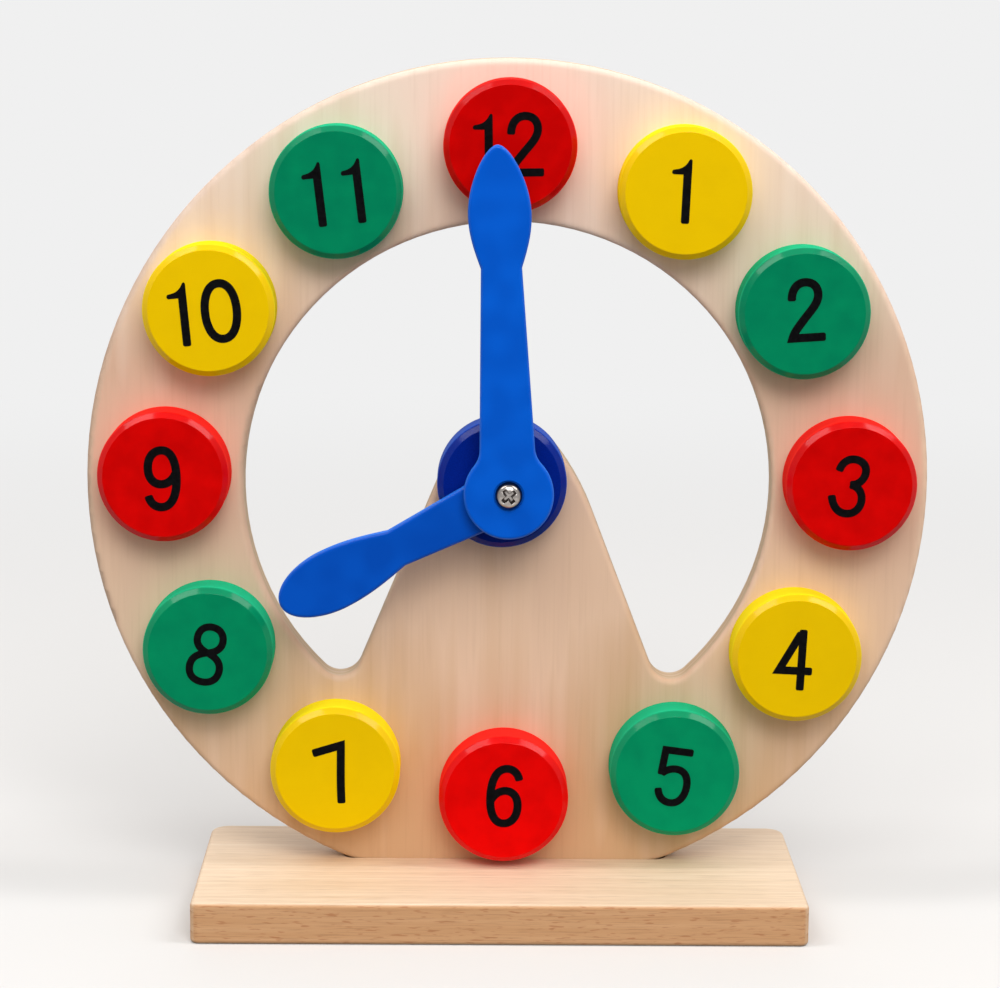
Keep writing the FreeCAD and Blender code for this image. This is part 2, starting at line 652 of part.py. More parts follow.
pocket(housing, pipe_hole, reverse=True)
nose_socket = new_sketch(housing, "nose_socket", lift=HUB_DEPTH)
add_circle(nose_socket, "(sizes.stud_radius + sizes.glue_gap)",
           "%s - %s" % (STUD_X, HUB_X), "%s - %s" % (STUD_Z, HUB_Z))
pocket(housing, nose_socket, "sizes.stud_nose + sizes.glue_gap", reverse=True)


def housing_screw(index, side):
    """Pan-head screw from the back of the tongue into a boss of the housing."""
    x = "%s + %d * %s" % (HUB_X, side, BOSS_X)
    z = "%s + %s + %d * %s" % (AXIS_Z, HUB_Z, side, BOSS_Z)
    seat = "(sizes.plate_thickness - sizes.housing_screw_sink)"
    shank = rod("housing_screw_shank_%d" % index, "sizes.housing_screw_radius",
                "%s + sizes.housing_screw_bite" % seat, "-" + seat)
    place(shank, x, "%s + %s" % (FACE_Y, seat), z)
    blank = rod("housing_screw_blank_%d" % index, "sizes.housing_screw_head_radius",
                "sizes.housing_screw_head_height", "-" + seat)
    place(blank, x, "%s + %s + sizes.housing_screw_head_height" % (FACE_Y, seat), z)
    slot = doc.addObject("Part::Box", "housing_screw_slot_%d" % index)
    slot.setExpression("Length", "sizes.housing_screw_head_radius * 2")
    slot.setExpression("Width", "sizes.housing_screw_head_height / 2")
    slot.setExpression("Height", "sizes.housing_screw_head_height / 3")
    place(slot, "%s - sizes.housing_screw_head_radius" % x,
          "%s + %s + sizes.housing_screw_head_height / 2" % (FACE_Y, seat),
          "%s - sizes.housing_screw_head_height / 6" % z)
    head = cut("housing_screw_head_%d" % index, blank, slot)
    return fuse("housing_screw_%d" % index, [shank, head])


housing_screws = group("housing_screws",
                       [housing_screw(i, side) for i, side in enumerate(SCREW_SIDES)])


# ---------------------------------------------------------------- gear train

PINION_AT = number("sizes.end_play")
WHEEL_AT = PINION_AT + 0.2
gear_thickness = number("sizes.gear_thickness")
pressure_angle = math.radians(number("sizes.pressure_angle"))
train_angle = math.radians(number("sizes.train_angle"))
hub_depth = number(HUB_DEPTH)


def involute(angle):
    return math.tan(angle) - angle


def gear_blank(teeth, module, thickness, start, centre, turn):
    """A toothed disc about a centre; a tooth's middle points along turn. Each flank is an
    involute drawn as two chords."""
    pitch_radius = teeth * module / 2
    tip_radius = pitch_radius + number("sizes.tooth_height") * module
    root_radius = pitch_radius - number("sizes.tooth_root") * module
    base_radius = pitch_radius * math.cos(pressure_angle)
    half_tooth = math.pi / (2 * teeth) - number("sizes.tooth_thinning") / (2 * pitch_radius)
    flank_start = max(base_radius, root_radius)
    flank = [(root_radius, half_tooth + involute(pressure_angle)
              - involute(math.acos(base_radius / flank_start)))]
    for share in (0.0, 0.5, 1.0):
        radius = flank_start + share * (tip_radius - flank_start)
        if radius > flank[-1][0] + 1e-6:
            flank.append((radius, half_tooth + involute(pressure_angle)
                          - involute(math.acos(base_radius / radius))))
    points = []
    for tooth in range(int(teeth)):
        middle = turn + 2 * math.pi * tooth / teeth
        right = [(radius, middle - half) for radius, half in flank]
        left = [(radius, middle + half) for radius, half in reversed(flank)]
        for radius, angle in right + left:
            points.append(centre + Vector(radius * math.cos(angle), radius * math.sin(angle), start))
    face = Part.Face(Part.makePolygon(points + points[:1]))
    return face.extrude(Vector(0, 0, thickness))


def disc_solid(radius, start, end, centre=Vector(0, 0, 0)):
    return Part.makeCylinder(radius, end - start, centre + Vector(0, 0, start))


leaves = number("sizes.leaves")
first_module = number("sizes.first_module")
second_module = number(SECOND_MODULE)
stud_centre = Vector(number(STUD_X), number(STUD_Z), 0)
wheel_end = WHEEL_AT + gear_thickness
pinion_end = wheel_end + 0.2
hour_wheel_at = pinion_end + number("sizes.thrust_collar_thickness") + 0.1
hour_wheel_end = hour_wheel_at + gear_thickness
minute_hand_at = number(MINUTE_HAND_AT)

# minute arbor: rear journal, pinion, thrust collar, front journal, seat for the hand
running_gap = number("sizes.running_gap")
glue_gap = number("sizes.glue_gap")
end_play = number("sizes.end_play")
washer_front = (number("sizes.plate_thickness") + number("sizes.bush_flange_thickness")
                + running_gap)
behind_plate = (washer_front + number("sizes.friction_washer_thickness")
                + number("sizes.friction_washer_dish") + number("sizes.back_washer_thickness"))
arbor_rear = behind_plate + number("sizes.clip_thickness") + number("sizes.arbor_tail")
rear_journal_radius = number("sizes.rear_journal_radius")
seat_end = (minute_hand_at + number("sizes.hand_thickness")
            - number("sizes.hand_screw_seat_depth") - 0.2)
arbor = disc_solid(rear_journal_radius, -arbor_rear, PINION_AT)
arbor = arbor.fuse(gear_blank(leaves, first_module, pinion_end - PINION_AT, PINION_AT,
                              Vector(0, 0, 0), train_angle))
collar_end = pinion_end + number("sizes.thrust_collar_thickness")
arbor = arbor.fuse(disc_solid(number("sizes.thrust_collar_radius"), pinion_end, collar_end))
arbor = arbor.fuse(disc_solid(number("sizes.front_journal_radius"), collar_end, minute_hand_at))
arbor = arbor.fuse(disc_solid(number("sizes.hand_seat_radius"), minute_hand_at, seat_end))
screw_bore_depth = number("sizes.hand_screw_length") + end_play
screw_bore_radius = number("sizes.hand_screw_radius") + glue_gap
head_under = minute_hand_at + number("sizes.hand_thickness") - number("sizes.hand_screw_seat_depth")
arbor = arbor.cut(disc_solid(screw_bore_radius, head_under - screw_bore_depth, seat_end + 1))
groove = disc_solid(rear_journal_radius + 1, -behind_plate - number("sizes.clip_thickness") - glue_gap,
                    -behind_plate)
groove = groove.cut(disc_solid(number("sizes.clip_groove_radius"), -arbor_rear - 1, 0))
minute_arbor = shape_feature("minute_arbor", arbor.cut(groove))

# intermediate wheel: a gap of the wheel meets the minute pinion's leaf, and a leaf of its
# own pinion points at the hour wheel
first_teeth = number("sizes.first_teeth")
towards_axis = train_angle + math.pi
wheel = gear_blank(first_teeth, first_module, gear_thickness, WHEEL_AT, stud_centre,
                   towards_axis + math.pi / first_teeth)
second_pinion_end = hour_wheel_end + 0.4
wheel = wheel.fuse(gear_blank(leaves, second_module, second_pinion_end - wheel_end, wheel_end,
                              stud_centre, towards_axis))
second_root = second_module * (leaves / 2 - number("sizes.tooth_root"))
wheel = wheel.fuse(disc_solid(second_root, 0.1, hub_depth - 0.1, stud_centre))
wheel = wheel.cut(disc_solid(number("sizes.stud_radius") + running_gap, -1, hub_depth + 1, stud_centre))
intermediate_wheel = shape_feature("intermediate_wheel", wheel)

stud = disc_solid(number("sizes.stud_radius"), -number("sizes.stud_root"),
                  hub_depth + number("sizes.stud_nose"), stud_centre)
intermediate_stud = shape_feature("intermediate_stud", stud)

# hour wheel: teeth, a collar that runs behind the housing's front wall, and the pipe
second_teeth = number("sizes.second_teeth")
hour_hand_at = number(HOUR_HAND_AT)
pipe_end = hour_hand_at + number("sizes.hand_thickness") - end_play
hour = gear_blank(second_teeth, second_module, gear_thickness, hour_wheel_at, Vector(0, 0, 0),
                  train_angle + math.pi / second_teeth)
hour = hour.fuse(disc_solid(number("sizes.pipe_collar_radius"), hour_wheel_end, hub_depth - end_play))
hour = hour.fuse(disc_solid(number("sizes.pipe_radius"), hour_wheel_end, pipe_end))
hour = hour.cut(disc_solid(number("sizes.front_journal_radius") + running_gap, 0, pipe_end + 1))
hour_wheel = shape_feature("hour_wheel", hour)


# ---------------------------------------------------------------- bush, washers, clip

bush_tube = rod("bush_tube", "sizes.bush_radius", "sizes.plate_thickness", "-sizes.plate_thickness")
bush_flange = rod("bush_flange", "sizes.bush_flange_radius", "sizes.bush_flange_thickness",
                  "-sizes.plate_thickness - sizes.bush_flange_thickness")
bush_blank = fuse("bush_blank", [bush_tube, bush_flange])
bush_bore = rod("bush_bore", "sizes.rear_journal_radius + sizes.running_gap",
                "3 * sizes.plate_thickness", "-2 * sizes.plate_thickness")
centre_bush = cut("centre_bush", bush_blank, bush_bore)

# dished friction washer: a thin cone whose rim rubs on the bush's flange
washer_radius = number("sizes.friction_washer_radius")
washer_thickness = number("sizes.friction_washer_thickness")
washer_dish = number("sizes.friction_washer_dish")
washer_inside = rear_journal_radius + glue_gap
washer_section = Part.makePolygon([
    Vector(washer_inside, 0, -washer_front - washer_dish),
    Vector(washer_radius, 0, -washer_front),
    Vector(washer_radius, 0, -washer_front - washer_thickness),
    Vector(washer_inside, 0, -washer_front - washer_dish - washer_thickness),
    Vector(washer_inside, 0, -washer_front - washer_dish)])
friction_washer = shape_feature("friction_washer",
                                Part.Face(washer_section).revolve(Vector(0, 0, 0), Vector(0, 0, 1), 360))

back_washer = ring("back_washer", "sizes.back_washer_radius",
                   "sizes.rear_journal_radius + sizes.glue_gap", "sizes.back_washer_thickness",
                   "-(sizes.plate_thickness + sizes.bush_flange_thickness + sizes.running_gap"
                   " + sizes.friction_washer_thickness + sizes.friction_washer_dish"
                   " + sizes.back_washer_thickness)")

# open clip, pushed into the arbor's groove from below
clip_start = -behind_plate - number("sizes.clip_thickness")
clip_inside = number("sizes.clip_groove_radius") + glue_gap
clip = disc_solid(number("sizes.clip_radius"), clip_start, -behind_plate)
clip = clip.cut(disc_solid(clip_inside, clip_start - 1, 0))
clip_mouth = Part.makeBox(2 * clip_inside, number("sizes.clip_radius"), number("sizes.clip_thickness") + 2,
                          Vector(-clip_inside, -number("sizes.clip_radius") - 0.5, clip_start - 1))
retaining_clip = shape_feature("retaining_clip", clip.cut(clip_mouth))


# ---------------------------------------------------------------- hands

def hand_side(name, side):
    """One edge of a hand from the boss to the tip, pointing along +X: a fillet off the boss,
    a straight stem to the neck, and a leaf-shaped blade of two curves."""
    def size(part):
        return number("sizes.%s_%s" % (name, part))
    boss_radius = size("boss_radius")
    stem_half, neck_half, neck_at = size("stem_half"), size("neck_half"), size("neck_at")
    blade_half, blade_at, length = size("blade_half"), size("blade_at"), size("length")
    fillet_radius = number("sizes.hand_boss_fillet")
    # the stem's edge runs from its root, level with the boss's rim, to the neck
    stem_start = Vector(boss_radius, stem_half, 0)
    neck = Vector(neck_at, neck_half, 0)
    along = (neck - stem_start).normalize()
    out = Vector(-along.y, along.x, 0)
    away = stem_start.dot(out) + fillet_radius
    reach = math.sqrt((boss_radius + fillet_radius) ** 2 - away ** 2)
    fillet_centre = out * away + along * reach
    on_boss = fillet_centre * (boss_radius / (boss_radius + fillet_radius))
    on_stem = fillet_centre - out * fillet_radius
    middle = (on_boss + on_stem) / 2 - fillet_centre
    on_fillet = fillet_centre + middle.normalize() * fillet_radius
    blade_low = Part.BezierCurve()
    blade_low.setPoles([flip(p, side) for p in (
        neck, neck + Vector((blade_at - neck_at) * 0.36, (blade_half - neck_half) * 0.58, 0),
        Vector(blade_at - (blade_at - neck_at) * 0.36, blade_half, 0), Vector(blade_at, blade_half, 0))])
    blade_high = Part.BezierCurve()
    blade_high.setPoles([flip(p, side) for p in (
        Vector(blade_at, blade_half, 0), Vector(blade_at + (length - blade_at) * 0.45, blade_half, 0),
        Vector(length, size("tip_half"), 0), Vector(length, 0, 0))])
    edges = [Part.Arc(flip(on_boss, side), flip(on_fillet, side), flip(on_stem, side)).toShape(),
             Part.makeLine(flip(on_stem, side), flip(neck, side)),
             blade_low.toShape(), blade_high.toShape()]
    return edges, flip(on_boss, side)


def flip(point, side):
    return Vector(point.x, point.y * side, 0)


def hand_shape(name, bore_radius, start):
    """A moulded hand about the hand axis at a depth in front of the plate."""
    upper, upper_on_boss = hand_side(name, 1)
    lower, lower_on_boss = hand_side(name, -1)
    boss_radius = number("sizes.%s_boss_radius" % name)
    boss = Part.Arc(upper_on_boss, Vector(-boss_radius, 0, 0), lower_on_boss).toShape()
    wire = Part.Wire(Part.__sortEdges__(upper + lower + [boss]))
    thickness = number("sizes.hand_thickness")
    blank = Part.Face(wire).extrude(Vector(0, 0, thickness))
    rims = [edge for edge in blank.Edges if lies_at(edge, "Z", thickness) or lies_at(edge, "Z", 0)]
    solid = blank.makeFillet(number("sizes.hand_edge"), rims)
    solid.translate(Vector(0, 0, start))
    solid.rotate(Vector(0, 0, 0), Vector(0, 0, 1), number("sizes.%s_angle" % name))
    return solid.cut(disc_solid(bore_radius, start - 1, start + thickness + 1))


hour_hand = shape_feature("hour_hand",
                          hand_shape("hour", number("sizes.pipe_radius") + glue_gap, hour_hand_at))
minute_solid = hand_shape("minute", number("sizes.hand_seat_radius") + glue_gap, minute_hand_at)
screw_seat_radius = number("sizes.hand_screw_head_radius") + number("sizes.hand_screw_seat_room")
minute_solid = minute_solid.cut(disc_solid(screw_seat_radius, head_under, head_under + 5))
minute_hand = shape_feature("minute_hand", minute_solid)


# ---------------------------------------------------------------- hand screw

SCREW_HEAD_AT = "(%s + sizes.hand_thickness - sizes.hand_screw_seat_depth)" % MINUTE_HAND_AT
screw_shank = rod("hand_screw_shank", "sizes.hand_screw_radius", "sizes.hand_screw_length",
                  "%s - sizes.hand_screw_length" % SCREW_HEAD_AT)
screw_blank = rod("hand_screw_blank", "sizes.hand_screw_head_radius",
                  "sizes.hand_screw_head_height", SCREW_HEAD_AT)
doc.recompute()
screw_pan = doc.addObject("Part::Fillet", "hand_screw_pan")
screw_pan.Base = screw_blank
pan_round = number("sizes.hand_screw_head_height") * 0.55
pan_front = number("%s - %s - sizes.hand_screw_head_height" % (FACE_Y, SCREW_HEAD_AT))
screw_pan.Edges = [(i + 1, pan_round, pan_round) for i, edge in enumerate(screw_blank.Shape.Edges)
                   if lies_at(edge, "Y", pan_front)]
CROSS_LENGTH = "(sizes.hand_screw_head_radius * 1.1)"
CROSS_WIDTH = "(sizes.hand_screw_head_radius * 0.24)"
CROSS_DEPTH = "(sizes.hand_screw_head_height * 0.6)"


def cross_slot(index, turn):
    """One of the two slots of the cross recess, turned about the screw's axis."""
    slot = doc.addObject("Part::Box", "hand_screw_cross_%d" % index)
    slot.setExpression("Length", CROSS_LENGTH)
    slot.setExpression("Width", CROSS_WIDTH)
    slot.setExpression("Height", CROSS_DEPTH)
    about = FreeCAD.Rotation(Vector(0, 1, 0), turn)
    slot.Placement = FreeCAD.Placement(Vector(0, 0, 0), about.multiply(FRONT))
    centre = about.multiply(FRONT).multVec(Vector(number(CROSS_LENGTH) / 2, number(CROSS_WIDTH) / 2, 0))
    place(slot, "%.6f" % -centre.x,
          "%s - %s - sizes.hand_screw_head_height + %s" % (FACE_Y, SCREW_HEAD_AT, CROSS_DEPTH),
          "%s + %.6f" % (AXIS_Z, -centre.z))
    return slot


CROSS_TURN = 38.0
cross = fuse("hand_screw_cross", [cross_slot(0, CROSS_TURN), cross_slot(1, CROSS_TURN + 90)])
screw_head = cut("hand_screw_head", screw_pan, cross)
hand_screw = fuse("hand_screw", [screw_shank, screw_head])


# ---------------------------------------------------------------- check and write

doc.recompute()
for item in doc.Objects:
    if "Invalid" in item.State or "Error" in item.State:
        raise RuntimeError("%s is %s" % (item.Name, item.State))

NODES = (["base_block", "base_screws", "dial_plate", "hub_housing", "housing_screws", "centre_bush",
          "intermediate_stud", "intermediate_wheel", "hour_wheel", "hour_hand", "minute_arbor",
          "minute_hand", "hand_screw", "friction_washer", "back_washer", "retaining_clip"]
         + ["number_disc_%02d" % hour for hour in DISC_SHIFTS]
         + ["disc_peg_%02d" % hour for hour in DISC_SHIFTS])
os.makedirs("parts", exist_ok=True)
nodes = [doc.getObjectsByLabel(label)[0] for label in NODES]
for node in nodes:
    if node.Shape.isNull() or not node.Shape.isValid():
        raise RuntimeError("%s has no valid shape" % node.Label)
for node in nodes:
    node.Shape.exportStep("parts/%s.step" % node.Label)
    print("%-20s %2d solid %10.1f mm3" % (node.Label, len(node.Shape.Solids), node.Shape.Volume))
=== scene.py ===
# Geared teaching clock: a wooden ring dial on a flat base, twelve painted number plugs, and
# two moulded hands that a small gear train ties together. Metres, +Z up, the dial faces -Y.
import bmesh
import bpy
import math
from mathutils import Matrix, Vector, geometry


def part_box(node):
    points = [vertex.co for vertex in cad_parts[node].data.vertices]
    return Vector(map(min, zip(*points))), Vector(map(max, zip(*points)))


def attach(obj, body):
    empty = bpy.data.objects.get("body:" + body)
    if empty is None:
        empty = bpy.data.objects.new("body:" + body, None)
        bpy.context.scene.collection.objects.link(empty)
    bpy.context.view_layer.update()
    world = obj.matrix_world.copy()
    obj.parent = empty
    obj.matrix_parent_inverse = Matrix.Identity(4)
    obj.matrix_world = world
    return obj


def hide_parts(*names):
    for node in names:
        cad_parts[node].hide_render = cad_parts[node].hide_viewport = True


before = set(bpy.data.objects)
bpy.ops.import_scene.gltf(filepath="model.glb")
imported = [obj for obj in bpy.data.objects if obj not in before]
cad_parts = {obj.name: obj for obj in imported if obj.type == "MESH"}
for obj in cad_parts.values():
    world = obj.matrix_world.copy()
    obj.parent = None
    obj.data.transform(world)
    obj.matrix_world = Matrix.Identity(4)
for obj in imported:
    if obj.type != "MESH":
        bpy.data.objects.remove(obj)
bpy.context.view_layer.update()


# ---------------------------------------------------------------- base block
# A flat board of solid beech, planed and sanded and left bare, its edges broken with
# sandpaper. The grain runs along its length, so its two ends show end grain.

def linear(code):
    """A colour written as sRGB hex, turned to the linear values that Blender mixes."""
    parts = [int(code[start:start + 2], 16) / 255 for start in (1, 3, 5)]
    mixed = [part / 12.92 if part <= 0.04045 else ((part + 0.055) / 1.055) ** 2.4 for part in parts]
    return mixed + [1.0]


def per_metre(*sizes):
    """How often patterns of these sizes, in mm, fit into a metre."""
    return [1000 / size for size in sizes]


def add_node(finish, kind, sockets=(), stops=(), **settings):
    """Adds a node to a material or world. A socket takes a value or another node's output."""
    tree = finish.node_tree
    made = tree.nodes.new("ShaderNode" + kind)
    for name, value in settings.items():
        setattr(made, name, value)
    for socket, value in dict(sockets).items():
        if isinstance(value, bpy.types.NodeSocket):
            tree.links.new(value, made.inputs[socket])
        else:
            made.inputs[socket].default_value = value
    for place, (position, colour) in enumerate(stops):
        points = made.color_ramp.elements
        point = points[place] if place < len(points) else points.new(position)
        point.position, point.color = position, linear(colour)
    return made


def new_finish(name):
    """An empty material, ready for its own nodes."""
    finish = bpy.data.materials.new(name)
    finish.use_nodes = True
    finish.node_tree.nodes.clear()
    return finish


def close_finish(finish, shader):
    """Ends a material with the shader that its surface shows."""
    add_node(finish, "OutputMaterial", {"Surface": shader.outputs[0]})


def dress(finish, *nodes):
    """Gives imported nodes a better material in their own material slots."""
    for name in nodes:
        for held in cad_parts[name].material_slots:
            held.material = finish


# Bare beech: pinkish tan with faint long streaks, fine pores, and the short red-brown
# dashes of the rays where the board is cut along the rings. Sanded, so quite matt.
sanded_beech = new_finish("sanded_beech")
place = add_node(sanded_beech, "TexCoord")
# streaks about 1.6 mm wide and 90 mm long
streak_at = add_node(sanded_beech, "Mapping", {"Vector": place.outputs["Object"],
                                               "Scale": per_metre(90, 1.6, 1.6)})
streaks = add_node(sanded_beech, "TexNoise", {"Vector": streak_at.outputs[0], "Scale": 1.0,
                                              "Detail": 4.0, "Roughness": 0.6})
streak_colour = add_node(sanded_beech, "ValToRGB", {"Fac": streaks.outputs["Fac"]},
                         stops=((0.32, "#DCC0A1"), (0.52, "#E3C9AC"), (0.70, "#EAD3B9")))
# pores: real ones are under 0.1 mm, drawn 0.35 mm wide and 9 mm long so that they show
pore_at = add_node(sanded_beech, "Mapping", {"Vector": place.outputs["Object"],
                                             "Scale": per_metre(9, 0.35, 0.35)})
pores = add_node(sanded_beech, "TexNoise", {"Vector": pore_at.outputs[0], "Scale": 1.0,
                                            "Detail": 2.0})
pore_shade = add_node(sanded_beech, "ValToRGB", {"Fac": pores.outputs["Fac"]},
                      stops=((0.30, "#D9D2CC"), (0.48, "#FFFFFF")))
with_pores = add_node(sanded_beech, "Mix", {0: 0.55, 6: streak_colour.outputs["Color"],
                                            7: pore_shade.outputs["Color"]},
                      data_type="RGBA", blend_type="MULTIPLY")
# the long edges are painted darker and browner, as painted shade for light that falls from above,
# and show ray dashes about 3 mm long and 0.5 mm high
facing = add_node(sanded_beech, "SeparateXYZ", {0: place.outputs["Normal"]})
long_edge = add_node(sanded_beech, "Math", {0: facing.outputs["Y"]}, operation="ABSOLUTE")
edge_here = add_node(sanded_beech, "MapRange", {"Value": long_edge.outputs[0], "From Min": 0.5,
                                                "From Max": 0.9})
painted_edge_shade = add_node(sanded_beech, "Mix", {0: edge_here.outputs[0], 6: linear("#FFFFFF"),
                                            7: linear("#E9C9AA")}, data_type="RGBA")
wood_with_painted_edge_shade = add_node(sanded_beech, "Mix", {0: 1.0, 6: with_pores.outputs[2],
                                           7: painted_edge_shade.outputs[2]},
                     data_type="RGBA", blend_type="MULTIPLY")
dash_at = add_node(sanded_beech, "Mapping", {"Vector": place.outputs["Object"],
                                             "Scale": per_metre(3.2, 3.2, 0.55)})
dashes = add_node(sanded_beech, "TexNoise", {"Vector": dash_at.outputs[0], "Scale": 1.0,
                                             "Detail": 1.0})
dash_mask = add_node(sanded_beech, "MapRange", {"Value": dashes.outputs["Fac"], "From Min": 0.60,
                                                "From Max": 0.70, "To Max": 0.55})
dash_here = add_node(sanded_beech, "Math", {0: dash_mask.outputs[0], 1: edge_here.outputs[0]},
                     operation="MULTIPLY")
with_dashes = add_node(sanded_beech, "Mix", {0: dash_here.outputs[0], 6: wood_with_painted_edge_shade.outputs[2],
                                             7: linear("#A8673F")}, data_type="RGBA")
# end grain: darker wood with growth rings about 5 mm apart, round a pith far below the board
ring_gap = 0.004935
pith = Vector((0, -0.02, -0.09))
wave_step = math.pi / 10       # how far apart the waves of a wave texture lie at scale 1
end_at = add_node(sanded_beech, "Mapping", {"Vector": place.outputs["Object"],
                                            "Location": -pith, "Scale": (0, 1, 1)})
rings = add_node(sanded_beech, "TexWave", {"Vector": end_at.outputs[0],
                                           "Scale": wave_step / ring_gap,
                                           "Distortion": 1.5, "Detail": 3.0},
                 wave_type="RINGS", rings_direction="X", wave_profile="SAW")
end_colour = add_node(sanded_beech, "ValToRGB", {"Fac": rings.outputs["Fac"]},
                      stops=((0.0, "#DDB188"), (0.85, "#CE9C70"), (1.0, "#B98358")))
end_face = add_node(sanded_beech, "Math", {0: facing.outputs["X"]}, operation="ABSOLUTE")
end_here = add_node(sanded_beech, "MapRange", {"Value": end_face.outputs[0], "From Min": 0.6,
                                               "From Max": 0.9})
beech_colour = add_node(sanded_beech, "Mix", {0: end_here.outputs[0], 6: with_dashes.outputs[2],
                                              7: end_colour.outputs["Color"]}, data_type="RGBA")
beech_bump = add_node(sanded_beech, "Bump", {"Height": pores.outputs["Fac"], "Strength": 0.25,
                                             "Distance": 0.0001})
beech_shine = add_node(sanded_beech, "MapRange", {"Value": streaks.outputs["Fac"],
                                                  "To Min": 0.50, "To Max": 0.68})
close_finish(sanded_beech, add_node(sanded_beech, "BsdfPrincipled", {
    "Base Color": beech_colour.outputs[2], "Roughness": beech_shine.outputs[0],
    "Normal": beech_bump.outputs[0], "Specular IOR Level": 0.3}))
dress(sanded_beech, "base_block")


# ---------------------------------------------------------------- base screws
# Two countersunk wood screws driven up through the base into the plate's foot. Carbon
# steel with a bright zinc plating.

# Bright zinc: a cool grey metal with soft cloudy patches from the plating bath.
zinc_plate = new_finish("bright_zinc_plate")
place = add_node(zinc_plate, "TexCoord")
# patches about 1.2 mm across
clouds = add_node(zinc_plate, "TexNoise", {"Vector": place.outputs["Object"],
                                           "Scale": 1000 / 1.2, "Detail": 3.0})
zinc_colour = add_node(zinc_plate, "ValToRGB", {"Fac": clouds.outputs["Fac"]},
                       stops=((0.3, "#AEB3B8"), (0.7, "#CDD1D3")))
zinc_shine = add_node(zinc_plate, "MapRange", {"Value": clouds.outputs["Fac"], "To Min": 0.24,
                                               "To Max": 0.42})
close_finish(zinc_plate, add_node(zinc_plate, "BsdfPrincipled", {
    "Base Color": zinc_colour.outputs["Color"], "Roughness": zinc_shine.outputs[0],
    "Metallic": 1.0}))
dress(zinc_plate, "base_screws")


# ---------------------------------------------------------------- dial plate
# Nine millimetre basswood plywood, sawn to a ring with a tongue, its edges rounded over and
# sanded. The faces are bare pale veneer with upright grain; the edges show the plies.

ply_thickness = 0.00132
core_half = 2.5 * ply_thickness     # five plies between the two face veneers of 1.2 mm
glue_line = 0.0001                  # half the step from the veneer's colour to the core's
edge_rounding = 0.0016
ring_foot, ring_top = 0.010, 0.202  # the plate shows from here to here
plate_low, plate_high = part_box("dial_plate")
plate_middle = (plate_low.y + plate_high.y) / 2

# Bare basswood veneer: creamy and nearly plain, with hair-fine upright lines. It is painted paler
# towards the top of the dial and darker towards its foot, as painted light falling from above.
bass_ply = new_finish("sanded_basswood_plywood")
place = add_node(bass_ply, "TexCoord")
where = add_node(bass_ply, "SeparateXYZ", {0: place.outputs["Object"]})
# clouds about 25 mm wide and 60 mm long, laid over the painted light that grows from foot to top
cloud_at = add_node(bass_ply, "Mapping", {"Vector": place.outputs["Object"],
                                          "Scale": per_metre(25, 40, 60)})
clouds = add_node(bass_ply, "TexNoise", {"Vector": cloud_at.outputs[0], "Scale": 1.0,
                                         "Detail": 2.0, "Roughness": 0.5})
cloud_share = add_node(bass_ply, "MapRange", {"Value": clouds.outputs["Fac"], "From Min": 0.3,
                                              "From Max": 0.7, "To Min": -0.10, "To Max": 0.10})
painted_light_up_share = add_node(bass_ply, "MapRange", {"Value": where.outputs["Z"], "From Min": ring_foot,
                                           "From Max": ring_top})
# upright bands about 4 mm wide and 120 mm long, from the sheet's growth rings
band_at = add_node(bass_ply, "Mapping", {"Vector": place.outputs["Object"],
                                         "Scale": per_metre(4, 40, 120)})
bands = add_node(bass_ply, "TexNoise", {"Vector": band_at.outputs[0], "Scale": 1.0,
                                        "Detail": 1.0})
band_share = add_node(bass_ply, "MapRange", {"Value": bands.outputs["Fac"], "From Min": 0.3,
                                             "From Max": 0.7, "To Min": -0.05, "To Max": 0.05})
soft_share = add_node(bass_ply, "Math", {0: band_share.outputs[0], 1: cloud_share.outputs[0]},
                      operation="ADD")
tone_with_painted_light = add_node(bass_ply, "Math", {0: painted_light_up_share.outputs[0], 1: soft_share.outputs[0]},
                      operation="ADD")
veneer_and_painted_light = add_node(bass_ply, "ValToRGB", {"Fac": tone_with_painted_light.outputs[0]},
                       stops=((0.05, "#CBA27A"), (0.30, "#E0BEA2"), (0.60, "#D8B59B"),
                              (0.95, "#EDD5C3")))
# hair lines: real ones are 0.1 mm, drawn 0.7 mm wide and 22 mm long so that they show
hair_at = add_node(bass_ply, "Mapping", {"Vector": place.outputs["Object"],
                                         "Scale": per_metre(0.7, 8, 22)})
hairs = add_node(bass_ply, "TexNoise", {"Vector": hair_at.outputs[0], "Scale": 1.0,
                                        "Detail": 2.0})
hair_shade = add_node(bass_ply, "ValToRGB", {"Fac": hairs.outputs["Fac"]},
                      stops=((0.30, "#E6DED5"), (0.50, "#FFFFFF")))
veneer = add_node(bass_ply, "Mix", {0: 0.17, 6: veneer_and_painted_light.outputs["Color"],
                                    7: hair_shade.outputs["Color"]},
                  data_type="RGBA", blend_type="MULTIPLY")
# the veneers cover the rounded edges, and the core's plies show on the walls between them,
# counted from the middle; every other one has its grain end-on
from_middle = add_node(bass_ply, "Math", {0: where.outputs["Y"], 1: plate_middle},
                       operation="SUBTRACT")
from_core = add_node(bass_ply, "Math", {0: from_middle.outputs[0]}, operation="ABSOLUTE")
in_core = add_node(bass_ply, "MapRange", {"Value": from_core.outputs[0],
                                          "From Min": core_half + glue_line,
                                          "From Max": core_half - glue_line})
ply_share = add_node(bass_ply, "Math", {0: from_core.outputs[0], 1: ply_thickness},
                     operation="DIVIDE")
ply_turn = add_node(bass_ply, "Math", {0: ply_share.outputs[0], 1: 1.0}, operation="PINGPONG")
ply_colour = add_node(bass_ply, "ValToRGB", {"Fac": ply_turn.outputs[0]},
                      stops=((0.40, "#D3B693"), (0.60, "#CAAA84")))
ply_wood = add_node(bass_ply, "Mix", {0: in_core.outputs[0], 6: veneer.outputs[2],
                                      7: ply_colour.outputs["Color"]}, data_type="RGBA")
